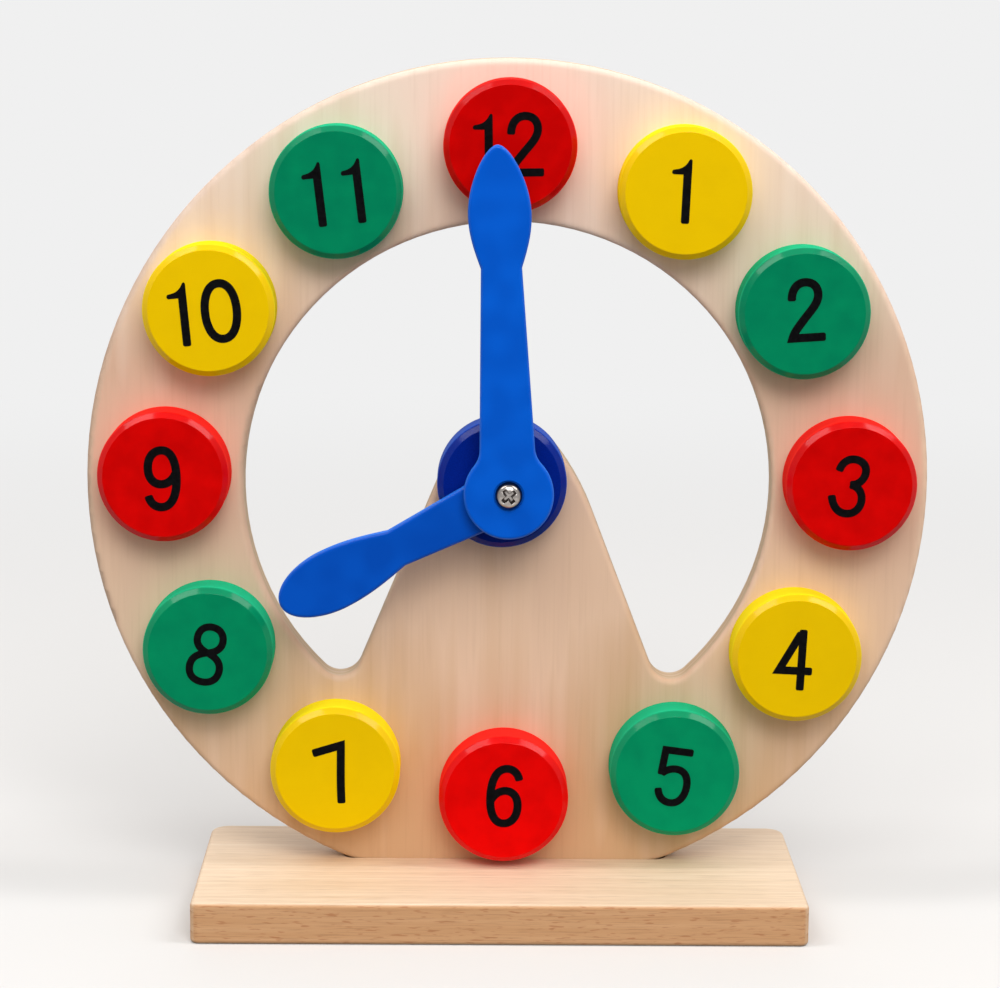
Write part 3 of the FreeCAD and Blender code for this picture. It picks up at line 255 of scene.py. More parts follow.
# the sanded edge turns evenly from face to wall
sanded_edge = add_node(bass_ply, "Bevel", {"Radius": edge_rounding}, samples=8)
ply_bump = add_node(bass_ply, "Bump", {"Height": hairs.outputs["Fac"], "Strength": 0.2,
                                       "Distance": 0.0001, "Normal": sanded_edge.outputs[0]})
ply_shine = add_node(bass_ply, "MapRange", {"Value": hairs.outputs["Fac"], "To Min": 0.52,
                                            "To Max": 0.68})
close_finish(bass_ply, add_node(bass_ply, "BsdfPrincipled", {
    "Base Color": ply_wood.outputs[2], "Roughness": ply_shine.outputs[0],
    "Normal": ply_bump.outputs[0], "Specular IOR Level": 0.3}))
dress(bass_ply, "dial_plate")


# ---------------------------------------------------------------- centre bush and stud
# A turned brass bush is pressed through the tongue for the minute arbor, and a ground steel
# pin, glued in beside it, carries the intermediate wheel.

# Turned brass: warm yellow with fine tool marks round its axis. Real ones are 0.1 to 0.2 mm
# apart, drawn 0.4 mm apart so that they show.
mark_gap = 0.0003948
bush_low, bush_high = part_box("centre_bush")
lathe_axis = (bush_low + bush_high) / 2
turned_brass = new_finish("turned_brass")
place = add_node(turned_brass, "TexCoord")
about_axis = add_node(turned_brass, "Mapping", {"Vector": place.outputs["Object"],
                                                "Location": -lathe_axis})
tool_marks = add_node(turned_brass, "TexWave", {"Vector": about_axis.outputs[0],
                                                "Scale": wave_step / mark_gap,
                                                "Distortion": 0.4},
                      wave_type="RINGS", rings_direction="Y")
brass_colour = add_node(turned_brass, "ValToRGB", {"Fac": tool_marks.outputs["Fac"]},
                        stops=((0.2, "#C9A35A"), (0.8, "#DDBB73")))
brass_bump = add_node(turned_brass, "Bump", {"Height": tool_marks.outputs["Fac"],
                                             "Strength": 0.15, "Distance": 0.00005})
close_finish(turned_brass, add_node(turned_brass, "BsdfPrincipled", {
    "Base Color": brass_colour.outputs["Color"], "Roughness": 0.28, "Metallic": 1.0,
    "Normal": brass_bump.outputs[0]}))
dress(turned_brass, "centre_bush", "friction_washer")

# Ground steel: a mid grey metal with faint scratches round the pin.
ground_steel = new_finish("ground_steel")
place = add_node(ground_steel, "TexCoord")
# grinding marks 0.15 mm apart along the pin, long round it
grind_at = add_node(ground_steel, "Mapping", {"Vector": place.outputs["Object"],
                                              "Scale": per_metre(3, 0.15, 3)})
grinding = add_node(ground_steel, "TexNoise", {"Vector": grind_at.outputs[0], "Scale": 1.0,
                                               "Detail": 2.0})
steel_colour = add_node(ground_steel, "ValToRGB", {"Fac": grinding.outputs["Fac"]},
                        stops=((0.3, "#8F9294"), (0.7, "#B4B6B8")))
steel_shine = add_node(ground_steel, "MapRange", {"Value": grinding.outputs["Fac"],
                                                  "To Min": 0.2, "To Max": 0.36})
close_finish(ground_steel, add_node(ground_steel, "BsdfPrincipled", {
    "Base Color": steel_colour.outputs["Color"], "Roughness": steel_shine.outputs[0],
    "Metallic": 1.0}))
dress(ground_steel, "intermediate_stud", "minute_arbor", "back_washer", "retaining_clip")


# ---------------------------------------------------------------- wheels
# The intermediate wheel with its pinion and the hour wheel with its pipe, each moulded in
# one piece. They run dry inside the hub housing.

# Natural acetal: milky white, slightly waxy, with light passing a little way into it.
acetal = new_finish("moulded_acetal")
place = add_node(acetal, "TexCoord")
# flow marks about 2.5 mm across
flow = add_node(acetal, "TexNoise", {"Vector": place.outputs["Object"], "Scale": 1000 / 2.5,
                                     "Detail": 2.0})
acetal_colour = add_node(acetal, "ValToRGB", {"Fac": flow.outputs["Fac"]},
                         stops=((0.3, "#E9E6DE"), (0.7, "#F2F0EA")))
acetal_shine = add_node(acetal, "MapRange", {"Value": flow.outputs["Fac"], "To Min": 0.3,
                                             "To Max": 0.42})
close_finish(acetal, add_node(acetal, "BsdfPrincipled", {
    "Base Color": acetal_colour.outputs["Color"], "Roughness": acetal_shine.outputs[0],
    "IOR": 1.48, "Subsurface Weight": 0.15, "Subsurface Scale": 0.001}))
dress(acetal, "intermediate_wheel", "hour_wheel")


# ---------------------------------------------------------------- hub housing
# A round cup moulded in dark blue ABS, screwed to the tongue from behind by two small
# pan-head screws. It covers the wheels and guides the hour hand's pipe.

# Dark blue ABS from a finely blasted mould: an even navy with a soft satin sheen.
navy_abs = new_finish("satin_navy_abs")
place = add_node(navy_abs, "TexCoord")
# the mould's blasted grain is 0.1 mm, drawn 0.25 mm so that it shows
grit = add_node(navy_abs, "TexNoise", {"Vector": place.outputs["Object"],
                                       "Scale": 1000 / 0.25, "Detail": 2.0})
navy_shade = add_node(navy_abs, "ValToRGB", {"Fac": grit.outputs["Fac"]},
                      stops=((0.3, "#011D78"), (0.7, "#022386")))
navy_shine = add_node(navy_abs, "MapRange", {"Value": grit.outputs["Fac"], "To Min": 0.16,
                                             "To Max": 0.22})
navy_bump = add_node(navy_abs, "Bump", {"Height": grit.outputs["Fac"], "Strength": 0.15,
                                        "Distance": 0.00005})


def close_worn_gloss(finish, colour, shine, bump, painted_light_colour, face, edge, wall):
    """Ends a finish that has its gloss on the broken edges, and is duller on its flat front
    and on its walls. The three shares say how much of the gloss each of them has."""
    # 1 on the flat front, 0.7 on a broken edge and 0 on a wall
    facing = add_node(finish, "SeparateXYZ", {0: add_node(finish, "TexCoord").outputs["Normal"]})
    face_on = add_node(finish, "Math", {0: facing.outputs["Y"]}, operation="ABSOLUTE")
    on_wall = add_node(finish, "MapRange", {"Value": face_on.outputs[0], "From Min": 0.55,
                                            "From Max": 0.30})
    # the walls are painted in a lighter colour, as painted light falling on them from above
    painted_light_on_walls = add_node(finish, "MapRange", {"Value": face_on.outputs[0], "From Min": 0.72,
                                              "From Max": 0.30})
    colour_with_painted_light = add_node(finish, "Mix", {0: painted_light_on_walls.outputs[0], 6: colour.outputs[0],
                                          7: linear(painted_light_colour)}, data_type="RGBA")
    off_wall = add_node(finish, "MapRange", {"Value": on_wall.outputs[0], "To Min": edge,
                                             "To Max": wall})
    off_face = add_node(finish, "MapRange", {"Value": face_on.outputs[0], "From Min": 0.84,
                                             "From Max": 0.96, "To Min": edge, "To Max": face})
    share = add_node(finish, "Math", {0: off_wall.outputs[0], 1: off_face.outputs[0]},
                     operation="MINIMUM")
    # the sharp rims are felt as rounded by a quarter of a millimetre
    rim = add_node(finish, "Bevel", {"Radius": 0.00025}, samples=6)
    finish.node_tree.links.new(rim.outputs[0], bump.inputs["Normal"])
    dull = add_node(finish, "BsdfPrincipled", {
        "Base Color": colour_with_painted_light.outputs[2], "Roughness": 0.6, "Specular IOR Level": 0.0,
        "Normal": bump.outputs[0]})
    glossy = add_node(finish, "BsdfPrincipled", {
        "Base Color": colour_with_painted_light.outputs[2], "Roughness": shine.outputs[0],
        "Specular IOR Level": 0.3, "Normal": bump.outputs[0]})
    close_finish(finish, add_node(finish, "MixShader", {0: share.outputs[0], 1: dull.outputs[0],
                                                        2: glossy.outputs[0]}))


# the hub's side is painted a lighter blue, as painted light from above
close_worn_gloss(navy_abs, navy_shade, navy_shine, navy_bump, "#2450B8",
                 face=0.06, edge=0.45, wall=0.12)
dress(navy_abs, "hub_housing")
dress(zinc_plate, "housing_screws")


# ---------------------------------------------------------------- hands
# Two flat hands moulded in bright blue ABS. The hour hand is pressed on the hour wheel's
# pipe, the minute hand sits on the arbor under the hand screw.

# Bright blue ABS from a polished mould: glossy, with a faint ripple where it has shrunk. The hour
# hand is painted a slightly deeper blue, as painted shade from the minute hand over it.
for hand, name, deep, bright in (("hour_hand", "glossy_blue_abs_painted_shade", "#034AB4", "#0551BE"),
                                 ("minute_hand", "glossy_blue_abs", "#0455C6", "#065CD0")):
    blue_abs = new_finish(name)
    place = add_node(blue_abs, "TexCoord")
    # ripple about 6 mm across
    ripple = add_node(blue_abs, "TexNoise", {"Vector": place.outputs["Object"],
                                             "Scale": 1000 / 6, "Detail": 0.0})
    blue_shade = add_node(blue_abs, "ValToRGB", {"Fac": ripple.outputs["Fac"]},
                          stops=((0.3, deep), (0.7, bright)))
    blue_bump = add_node(blue_abs, "Bump", {"Height": ripple.outputs["Fac"], "Strength": 0.1,
                                            "Distance": 0.0001})
    blue_shine = add_node(blue_abs, "MapRange", {"Value": ripple.outputs["Fac"],
                                                 "To Min": 0.16, "To Max": 0.24})
    # the hands' sides are painted a lighter blue, as painted light from above
    close_worn_gloss(blue_abs, blue_shade, blue_shine, blue_bump, "#2A74E0",
                     face=0.10, edge=0.7, wall=0.2)
    dress(blue_abs, hand)


# ---------------------------------------------------------------- hand screw
# A pan-head machine screw with a cross recess, nickel-plated steel, turned into the arbor's
# front end. It clamps the minute hand in a shallow round seat. Its sizes are in mm.

head_radius, head_height = 3.2, 2.4
head_round, head_crown = 1.9, 0.22          # the shoulder's radius, and the dome's height
recess_reach, recess_width, recess_depth = 2.05, 0.9, 1.6
recess_turn = 38.0                          # degrees
flank_slope, end_slope = 0.24, 0.75         # how wide the recess's walls slope
end_curve = 0.55                            # 0 for straight wing ends, 1 for hollow ones
shank_radius, shank_length, tip_chamfer = 1.2, 8.0, 0.4
turns, front_rings = 96, 30                 # the mesh's steps round the screw and outwards
screw_low, screw_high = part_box("hand_screw")
screw_axis = Vector(((screw_low.x + screw_high.x) / 2, screw_low.y,
                     (screw_low.z + screw_high.z) / 2))

# Nickel plate: a bright, slightly warm metal, dulled by handling, and painted dark brown round the
# shoulder and in the recess, where the surface turns away from the front, as painted shade in the
# recess and a painted dark reflection on the shoulder.
nickel_plate = new_finish("nickel_plate")
place = add_node(nickel_plate, "TexCoord")
# dull patches about 0.8 mm across
handling = add_node(nickel_plate, "TexNoise", {"Vector": place.outputs["Object"],
                                               "Scale": 1000 / 0.8, "Detail": 3.0})
nickel_colour = add_node(nickel_plate, "ValToRGB", {"Fac": handling.outputs["Fac"]},
                         stops=((0.3, "#8E8884"), (0.7, "#B4AEAA")))
nickel_shine = add_node(nickel_plate, "MapRange", {"Value": handling.outputs["Fac"],
                                                   "To Min": 0.12, "To Max": 0.22})
facing = add_node(nickel_plate, "SeparateXYZ", {0: place.outputs["Normal"]})
face_on = add_node(nickel_plate, "Math", {0: facing.outputs["Y"]}, operation="ABSOLUTE")
painted_dark_rim = add_node(nickel_plate, "MapRange", {"Value": face_on.outputs[0], "From Min": 0.82,
                                            "From Max": 0.55})
nickel_with_painted_shade = add_node(nickel_plate, "Mix", {0: painted_dark_rim.outputs[0], 6: nickel_colour.outputs["Color"],
                                              7: linear("#4A403B")}, data_type="RGBA")
close_finish(nickel_plate, add_node(nickel_plate, "BsdfPrincipled", {
    "Base Color": nickel_with_painted_shade.outputs[2], "Roughness": nickel_shine.outputs[0],
    "Metallic": 1.0}))


def screw_front(x, z):
    """How far the head's surface lies behind its foremost point, in mm, at a place on it."""
    away = math.hypot(x, z)
    over = max(0.0, away - (head_radius - head_round))
    shoulder = head_round - math.sqrt(max(0.0, head_round ** 2 - over ** 2))
    dome = head_crown * (away / head_radius) ** 2 + shoulder
    sink = 0.0
    for wing in range(4):
        angle = math.radians(recess_turn + 90 * wing)
        along = x * math.cos(angle) + z * math.sin(angle)
        across = abs(z * math.cos(angle) - x * math.sin(angle))
        if along > -recess_width:
            side = min(1.0, max(0.0, (recess_width / 2 + flank_slope / 2 - across) / flank_slope))
            end = min(1.0, max(0.0, (recess_reach - along) / end_slope))
            sink = max(sink, recess_depth * side * ((1 - end_curve) * end + end_curve * end * end))
    return dome + sink


def screw_row(shape, away, behind=None):
    """A row of points round the screw's axis, so far behind its front or on the head's face."""
    row = []
    for step in range(turns if away else 1):
        angle = 2 * math.pi * step / turns
        x = away * math.cos(angle)
        z = away * math.sin(angle)
        y = screw_front(x, z) if behind is None else behind
        row.append(shape.verts.new(screw_axis + Vector((x, y, z)) * 0.001))
    return row


def put_in_scene(name, data):
    """A new object of the scene round its mesh, lamp or camera."""
    made = bpy.data.objects.new(name, data)
    bpy.context.scene.collection.objects.link(made)
    return made


def make_piece(name, shape, finish):
    """A new piece from its faces, all in one material."""
    bmesh.ops.recalc_face_normals(shape, faces=shape.faces)
    mesh = bpy.data.meshes.new(name)
    shape.to_mesh(mesh)
    shape.free()
    mesh.materials.append(finish)
    return put_in_scene(name, mesh)


shape = bmesh.new()
rows = [screw_row(shape, head_radius * (ring / front_rings)) for ring in range(front_rings + 1)]
for away, behind in ((head_radius, head_height), (shank_radius, head_height),
                     (shank_radius, head_height + shank_length - tip_chamfer),
                     (shank_radius - tip_chamfer, head_height + shank_length)):
    rows.append(screw_row(shape, away, behind))
for step in range(turns):
    shape.faces.new((rows[0][0], rows[1][step], rows[1][(step + 1) % turns]))
for inner, outer in zip(rows[1:], rows[2:]):
    for step in range(turns):
        after = (step + 1) % turns
        shape.faces.new((inner[step], outer[step], outer[after], inner[after]))
shape.faces.new(list(reversed(rows[-1])))
pan_head_screw = make_piece("pan_head_screw", shape, nickel_plate)
for face in pan_head_screw.data.polygons:
    face.use_smooth = True
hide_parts("hand_screw")
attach(pan_head_screw, "minute")


# ---------------------------------------------------------------- number discs and pegs
# Twelve turned discs of lime wood, painted in red, yellow or green satin enamel, each on a
# beech dowel that pushes into the plate. Their numbers are printed on in thick black ink.

disc_paints = {}
for name, slot, deep, bright, side in (
        ("satin_red_enamel", "red_paint", "#C00202", "#DF0504", "#FA2A22"),
        ("satin_yellow_enamel", "yellow_paint", "#EBC103", "#E6BC03", "#FFE61E"),
        ("satin_green_enamel", "green_paint", "#027B54", "#048C5C", "#24BC86")):
    # Satin enamel brushed thin over wood: even colour, soft shine and the grain just felt. The
    # disc's side is painted in a brighter colour, as painted light falling on it from above.
    enamel = new_finish(name)
    place = add_node(enamel, "TexCoord")
    # the wood's grain under the paint, 0.9 mm apart and 20 mm long
    grain_at = add_node(enamel, "Mapping", {"Vector": place.outputs["Object"],
                                            "Scale": per_metre(20, 20, 0.9)})
    grain = add_node(enamel, "TexNoise", {"Vector": grain_at.outputs[0], "Scale": 1.0,
                                          "Detail": 3.0})
    # brushed thickness in soft patches 6 mm across
    coats = add_node(enamel, "TexNoise", {"Vector": place.outputs["Object"],
                                          "Scale": 1000 / 6, "Detail": 3.0})
    # the paint is brighter on the lowest discs and darker on the highest
    height = add_node(enamel, "SeparateXYZ", {0: place.outputs["Object"]})
    tone_by_height = add_node(enamel, "MapRange", {"Value": height.outputs["Z"], "From Min": 0.02,
                                          "From Max": 0.19, "To Min": 0.22, "To Max": -0.22})
    coat_share = add_node(enamel, "Math", {0: coats.outputs["Fac"], 1: tone_by_height.outputs[0]},
                          operation="ADD")
    paint_shade = add_node(enamel, "ValToRGB", {"Fac": coat_share.outputs[0]},
                           stops=((0.2, deep), (0.8, bright)))
    paint_shine = add_node(enamel, "MapRange", {"Value": grain.outputs["Fac"], "To Min": 0.10,
                                                "To Max": 0.17})
    paint_bump = add_node(enamel, "Bump", {"Height": grain.outputs["Fac"], "Strength": 0.25,
                                           "Distance": 0.0001})
    close_worn_gloss(enamel, paint_shade, paint_shine, paint_bump, side,
                     face=0.05, edge=0.5, wall=0.03)
    disc_paints[slot] = enamel

# Beech dowel: pale, with short lines along the peg.
dowel_beech = new_finish("turned_beech_dowel")
place = add_node(dowel_beech, "TexCoord")
# fibres 0.4 mm wide and 8 mm long, along the peg
fibre_at = add_node(dowel_beech, "Mapping", {"Vector": place.outputs["Object"],
                                             "Scale": per_metre(0.4, 8, 0.4)})
fibres = add_node(dowel_beech, "TexNoise", {"Vector": fibre_at.outputs[0], "Scale": 1.0,
                                            "Detail": 3.0})
dowel_colour = add_node(dowel_beech, "ValToRGB", {"Fac": fibres.outputs["Fac"]},
                        stops=((0.3, "#D2A87E"), (0.7, "#E6C29C")))
close_finish(dowel_beech, add_node(dowel_beech, "BsdfPrincipled", {
    "Base Color": dowel_colour.outputs["Color"], "Roughness": 0.6, "IOR": 1.5}))

# Screen-printed ink: near black, matt, with a faint mottle.
black_ink = new_finish("printed_black_ink")
place = add_node(black_ink, "TexCoord")
# mottle about 0.8 mm across
mottle = add_node(black_ink, "TexNoise", {"Vector": place.outputs["Object"],
                                          "Scale": 1000 / 0.8, "Detail": 2.0})
ink_shade = add_node(black_ink, "ValToRGB", {"Fac": mottle.outputs["Fac"]},
                     stops=((0.3, "#070708"), (0.7, "#101012")))
ink_shine = add_node(black_ink, "MapRange", {"Value": mottle.outputs["Fac"], "To Min": 0.34,
                                             "To Max": 0.5})
close_finish(black_ink, add_node(black_ink, "BsdfPrincipled", {
    "Base Color": ink_shade.outputs["Color"], "Roughness": ink_shine.outputs[0],
    "Specular IOR Level": 0.02}))

# The figures, in mm about their middle, x right and y up. A stroke is its start, then
# straight runs (one point) and bends (three points).
figures = {
    "0": [[(0, 6.5), ((2.4, 6.5), (3.7, 3.6), (3.7, 0)), ((3.7, -3.6), (2.4, -6.5), (0, -6.5)),
           ((-2.4, -6.5), (-3.7, -3.6), (-3.7, 0)), ((-3.7, 3.6), (-2.4, 6.5), (0, 6.5))]],
    "2": [[(-3.15, 2.3), ((-3.15, 5.2), (-1.6, 6.55), (0.1, 6.55)),
           ((2.0, 6.55), (3.05, 5.3), (3.05, 3.6)), ((3.05, 1.6), (1.3, 0.0), (-0.3, -1.9)),
           ((-1.7, -3.6), (-2.9, -4.9), (-3.35, -6.4)), (4.4, -6.4)]],
    "3": [[(-2.65, 3.2), ((-2.3, 5.2), (-1.0, 6.4), (0.6, 6.4)),
           ((2.4, 6.4), (3.65, 5.3), (3.65, 3.7)), ((3.65, 2.0), (2.4, 0.3), (0.3, 0.3))],
          [(0.3, 0.3), ((2.2, 0.3), (3.5, -1.2), (3.5, -3.1)),
           ((3.5, -5.3), (2.0, -6.65), (0.1, -6.65)), ((-1.9, -6.65), (-3.2, -5.0), (-3.65, -2.6))]],
    "4": [[(1.6, 6.5), (-3.2, -2.75), (4.7, -2.75)], [(2.05, 7.3), (2.05, -7.5)]],
    "5": [[(3.8, 6.3), (-2.85, 6.3), (-3.15, 0.1)],
          [(-3.1, 0.3), ((-2.3, 1.2), (-1.2, 1.9), (0.2, 1.9)),
           ((2.2, 1.9), (3.35, 0.5), (3.35, -1.9)), ((3.35, -4.6), (2.0, -6.5), (0.0, -6.5)),
           ((-1.9, -6.5), (-3.1, -5.2), (-3.35, -3.2))]],
    "6": [[(3.3, 4.0), ((2.9, 5.8), (1.7, 6.75), (0.3, 6.75)),
           ((-2.2, 6.75), (-3.35, 4.0), (-3.35, 0.2)), ((-3.35, -4.4), (-2.0, -6.75), (0.1, -6.75)),
           ((2.1, -6.75), (3.35, -5.0), (3.35, -2.6)), ((3.35, -0.2), (2.1, 1.3), (0.35, 1.3)),
           ((-1.2, 1.3), (-2.6, 0.3), (-3.25, -1.6))]],
    "7": [[(-3.9, 6.5), (3.15, 6.5), ((2.2, 3.2), (0.2, -2.6), (-0.85, -7.2))]],
    "8": [[(0.45, 6.75), ((2.3, 6.75), (3.5, 5.5), (3.5, 3.6)), ((3.5, 1.9), (2.1, 0.8), (0.4, 0.4)),
           ((-1.7, -0.2), (-3.2, -1.2), (-3.2, -3.4)), ((-3.2, -5.5), (-1.8, -6.75), (0.35, -6.75)),
           ((2.4, -6.75), (3.9, -5.5), (3.9, -3.4)), ((3.9, -1.2), (2.4, -0.2), (0.4, 0.4)),
           ((-1.3, 0.9), (-2.6, 1.9), (-2.6, 3.6)), ((-2.6, 5.5), (-1.4, 6.75), (0.45, 6.75))]],
}
# the one is a filled outline with a curled flag
figure_one = [(0.97, -6.9), (0.97, 6.9), ((0.97, 7.5), (0.45, 7.6), (0.2, 7.1)),
              ((-0.5, 5.7), (-1.4, 5.1), (-3.1, 4.9)), ((-3.8, 4.8), (-3.8, 3.8), (-3.1, 3.8)),
              (-0.97, 3.8), (-0.97, -6.9), ((-0.97, -7.3), (-0.8, -7.5), (-0.4, -7.5)),
              (0.4, -7.5), ((0.8, -7.5), (0.97, -7.3), (0.97, -6.9))]
# each disc's paint, its turn clockwise in degrees, the width of its pen, and its figures
# from the disc's middle
disc_faces = {
    1: ("yellow_paint", 2.2, 1.95, (("1", 0.05, 0.5),)),
    2: ("green_paint", -4, 1.97, (("2", 0.15, 0.9),)),
    3: ("red_paint", 6, 1.88, (("3", -0.95, 0.2),)),
    4: ("yellow_paint", 2.5, 1.9, (("4", -1.0, -0.1),)),
    5: ("green_paint", 7.5, 1.8, (("5", -0.2, -0.55),)),
    6: ("red_paint", 4, 1.95, (("6", 0.1, 1.08),)),
    7: ("yellow_paint", -17, 1.95, (("7", 0.1, -0.75),)),
    8: ("green_paint", 11, 1.75, (("8", -0.35, -0.6),)),
    9: ("red_paint", 0, 2.0, (("9", -0.02, -0.27),)),
    10: ("yellow_paint", -5.5, 1.95, (("1", -5.6, -0.3), ("0", 3.0, -0.3))),
    11: ("green_paint", -7, 1.95, (("1", -3.75, 0.0), ("1", 5.4, -0.15))),
    12: ("red_paint", -1, 1.88, (("1", -5.0, 0.1), ("2", 3.3, 0.4))),
}
ink_height, ink_corner = 0.04, 0.45     # how proud the ink stands, how round its strokes end
bend_steps = 14
# how near two ends are one point, how small a turn is none, and how near corners are welded
same_point, no_turn, weld = 1e-6, 1e-4, 1e-5


def follow(stroke):
    """The points along a stroke, its bends worked out as Bezier curves."""
    points = [Vector(stroke[0])]
    for run in stroke[1:]:
        if isinstance(run[0], tuple):
            start = points[-1]
            leaving, arriving, end = [Vector(point) for point in run]
            for step in range(1, bend_steps + 1):
                share = step / bend_steps
                rest = 1 - share
                points.append(start * rest ** 3 + leaving * 3 * share * rest ** 2
                              + arriving * 3 * share * share * rest + end * share ** 3)
        else:
            points.append(Vector(run))
    return points


def side_of(way):
    """The direction a quarter turn to the left of another."""
    return Vector((-way.y, way.x))


def brush(points, pen):
    """The patches that the pen covers along some points: a strip for each run, a wedge at
    each join and a rounded cap on each free end."""
    half = pen / 2
    closed = (points[0] - points[-1]).length < same_point
    patches = []
    for _ in range(0 if closed else 2):
        tip = points[0]
        while (points[0] - tip).length < ink_corner:
            points.pop(0)
        way = (points[0] - tip).normalized()
        points.insert(0, tip + way * ink_corner)
        cap = [(ink_corner * (1 - math.sin(angle)), half - ink_corner * (1 - math.cos(angle)))
               for angle in (0, math.pi / 6, math.pi / 3, math.pi / 2)]
        patches.append([tip + way * along - side_of(way) * across for along, across in reversed(cap)]
                       + [tip + way * along + side_of(way) * across for along, across in cap])
        points.reverse()
    ways = [(end - start).normalized() for start, end in zip(points, points[1:])]
    for start, end, way in zip(points, points[1:], ways):
        across = side_of(way) * half
        patches.append([start - across, end - across, end + across, start + across])
    joins = list(zip(ways, ways[1:], points[1:]))
    if closed:
        joins.append((ways[-1], ways[0], points[0]))
    for before, after, point in joins:
        turn = before.cross(after)
        if abs(turn) > no_turn:
            reach = -half if turn > 0 else half
            one = side_of(before) * reach
            two = side_of(after) * reach
            mitre = (one + two) * (half ** 2 / (half ** 2 + one.dot(two)))
            wedge = [point, point + one, point + mitre, point + two]
            patches.append(wedge if turn > 0 else wedge[:1] + wedge[:0:-1])
    return patches


def print_number(hour, turn, pen, placed):
    """The ink of one number as one thin raised layer on its disc's face."""
    patches = []
    for figure, x, y in placed:
        if figure == "1":
            drawn = [follow(figure_one)]
        else:
            strokes = figures["6" if figure == "9" else figure]
            drawn = [patch for stroke in strokes for patch in brush(follow(stroke), pen)]
        if figure == "9":        # a six turned over
            drawn = [[-point for point in patch] for patch in drawn]
        patches += [[point + Vector((x, y)) for point in patch] for patch in drawn]
    points, cells = [], []
    for patch in patches:
        cells.append(list(range(len(points), len(points) + len(patch))))
        points += patch
    flat, _, parts, _, _, owners = geometry.delaunay_2d_cdt(points, [], cells, 0, weld)
    parts = [part for part, owner in zip(parts, owners) if owner]
    low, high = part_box("number_disc_%02d" % hour)
    middle = Vector(((low.x + high.x) / 2, low.y, (low.z + high.z) / 2))
    spin = Matrix.Rotation(math.radians(-turn), 2)
    shape = bmesh.new()
    front, back = {}, {}
    for corner in sorted({corner for part in parts for corner in part}):
        point = spin @ flat[corner]
        front[corner] = shape.verts.new(middle + Vector((point.x, -ink_height, point.y)) * 0.001)
        back[corner] = shape.verts.new(middle + Vector((point.x, ink_height / 2, point.y)) * 0.001)
    edges = {}
    for part in parts:
        shape.faces.new([front[corner] for corner in part])
        shape.faces.new([back[corner] for corner in reversed(part)])
        for start, end in zip(part, part[1:] + part[:1]):
            edges[(start, end)] = True
    for start, end in edges:
        if (end, start) not in edges:
            shape.faces.new((front[start], back[start], back[end], front[end]))
    return make_piece("number_%02d" % hour, shape, black_ink)


for hour, (paint, turn, pen, placed) in disc_faces.items():
    dress(disc_paints[paint], "number_disc_%02d" % hour)
    dress(dowel_beech, "disc_peg_%02d" % hour)
    number = print_number(hour, turn, pen, placed)
    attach(number, "plug_%02d" % hour)


# ---------------------------------------------------------------- floor, lamps and camera
# A wide pale floor, a soft lamp above in front, a soft panel high on each side, a very wide
# sun from in front and a weaker one from behind, and an even pale surround.

floor_reach = 20
near_floor, far_floor = 0.15, 0.9     # between which the floor goes over into the surround

floor_mesh = bpy.data.meshes.new("floor")
floor_mesh.from_pydata([(-floor_reach, -floor_reach, 0), (floor_reach, -floor_reach, 0),
                        (floor_reach, floor_reach, 0), (-floor_reach, floor_reach, 0)],
                       [], [(0, 1, 2, 3)])
floor = put_in_scene("floor", floor_mesh)


def looked_at(finish):
    """A value that is 1 where the eye looks, also in a mirror or through glass, and 0 where
    light is only passed on."""
    rays = add_node(finish, "LightPath")
    seen = add_node(finish, "Math", {0: rays.outputs["Is Camera Ray"],
                                     1: rays.outputs["Is Glossy Ray"]}, operation="MAXIMUM")
    shown = add_node(finish, "Math", {0: seen.outputs[0], 1: rays.outputs["Is Transmission Ray"]},
                     operation="MAXIMUM")
    return shown.outputs[0]


# Matt paper: pale to the eye and in mirrors, where it turns into the surround further off,
# but a mid grey in the light that it throws back.
floor_paper = new_finish("matt_floor_paper")
shown = looked_at(floor_paper)
paper_colour = add_node(floor_paper, "Mix", {0: shown, 6: linear("#7C7A78"),
                                             7: linear("#DEDCDA")}, data_type="RGBA")
paper = add_node(floor_paper, "BsdfPrincipled", {
    "Base Color": paper_colour.outputs[2], "Roughness": 0.9, "Specular IOR Level": 0.1})
place = add_node(floor_paper, "TexCoord")
away = add_node(floor_paper, "VectorMath", {0: place.outputs["Object"]}, operation="LENGTH")
far = add_node(floor_paper, "MapRange", {"Value": away.outputs["Value"], "From Min": near_floor,
                                         "From Max": far_floor}, interpolation_type="SMOOTHSTEP")
far_shown = add_node(floor_paper, "Math", {0: far.outputs[0], 1: shown}, operation="MULTIPLY")
far_paper = add_node(floor_paper, "Emission", {"Color": linear("#F0F0F0"), "Strength": 1.0})
close_finish(floor_paper, add_node(floor_paper, "MixShader", {
    0: far_shown.outputs[0], 1: paper.outputs[0], 2: far_paper.outputs[0]}))
floor_mesh.materials.append(floor_paper)

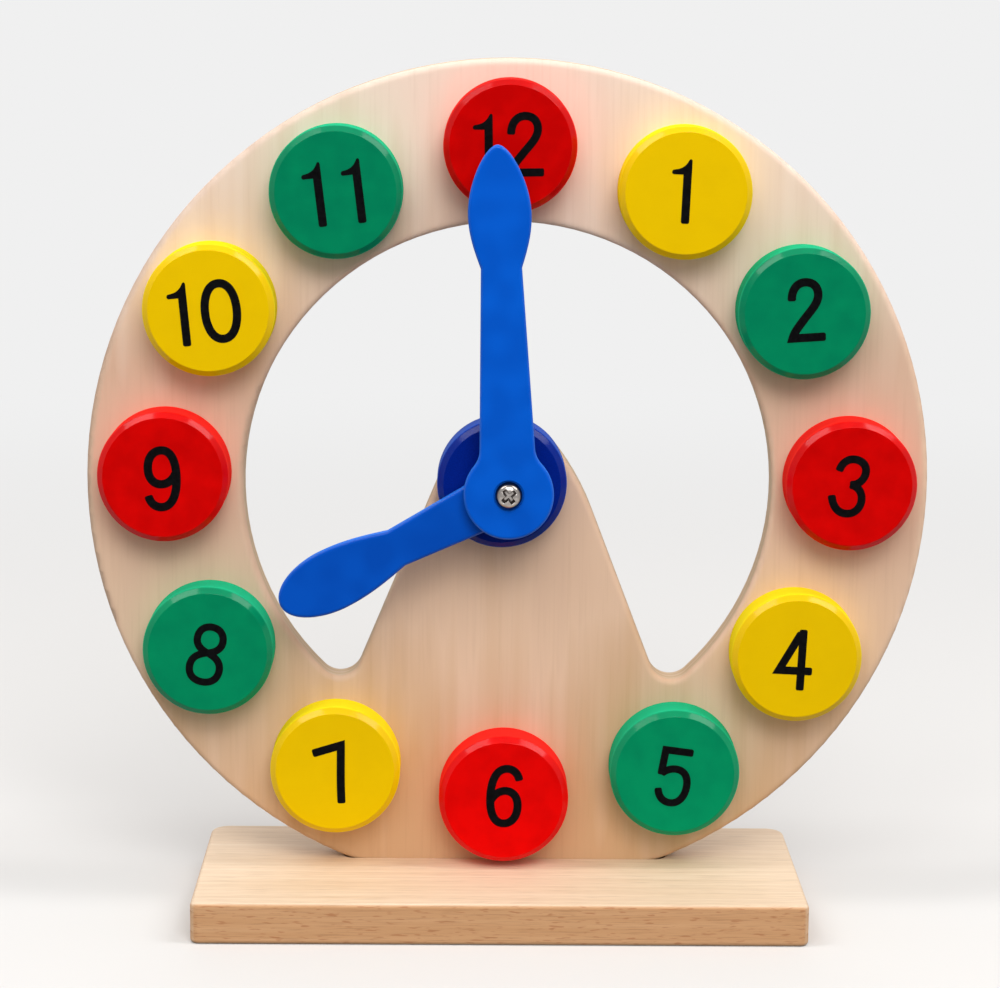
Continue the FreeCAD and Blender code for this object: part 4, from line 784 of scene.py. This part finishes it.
for name, azimuth, height, strength, spread in (("lamp_front", 12, 34, 0.9, 30),
                                                ("lamp_behind", 180, 26, 0.32, 30)):
    lamp = bpy.data.lights.new(name, "SUN")
    lamp.energy = strength
    lamp.angle = math.radians(spread)
    hung = put_in_scene(name, lamp)
    hung.rotation_euler = (math.radians(90 - height), 0, math.radians(azimuth))

for name, place_at, turn, wide, deep, power in (
        ("lamp_above", (0, -0.70, 0.86), (46, 0, 0), 0.8, 0.5, 4.4),
        ("lamp_left", (-0.98, -0.28, 1.62), (0, -32, 0), 1.0, 0.42, 8.5),
        ("lamp_right", (1.10, -0.28, 1.53), (0, 37, 0), 1.0, 0.42, 9.5)):
    lamp = bpy.data.lights.new(name, "AREA")
    lamp.shape = "RECTANGLE"
    lamp.size, lamp.size_y = wide, deep
    lamp.energy = power
    hung = put_in_scene(name, lamp)
    hung.location = place_at
    hung.rotation_euler = [math.radians(angle) for angle in turn]
    hung.visible_camera = False

surround = bpy.data.worlds.new("pale_surround")
surround.use_nodes = True
surround.node_tree.nodes.clear()
bpy.context.scene.world = surround
shown = looked_at(surround)
lighting = add_node(surround, "Background", {"Color": linear("#FFFFFF"), "Strength": 0.50})
backdrop = add_node(surround, "Background", {"Color": linear("#F0F0F0"), "Strength": 1.0})
mixed = add_node(surround, "MixShader", {0: shown, 1: lighting.outputs[0],
                                         2: backdrop.outputs[0]})
add_node(surround, "OutputWorld", {"Surface": mixed.outputs[0]})

bpy.context.scene.view_settings.view_transform = "Standard"

# The camera stands 0.7 m in front of the dial and 0.12 m above its middle. It is turned
# aside, looks down and leans over by these angles, in radians.
eye_at = (-0.00965, -0.6978, 0.2219)
aside, down, lean = -0.0111, 0.1722, 0.0082
eye = bpy.data.cameras.new("eye")
eye.sensor_width, eye.lens = 36.0, 107.84
eye.clip_start, eye.clip_end = 0.05, 100.0
camera = put_in_scene("eye", eye)
camera.matrix_world = (Matrix.Translation(eye_at)
                       @ Matrix.Rotation(aside, 4, "Z")
                       @ Matrix.Rotation(math.pi / 2 - down, 4, "X")
                       @ Matrix.Rotation(lean, 4, "Z"))
bpy.context.scene.camera = camera
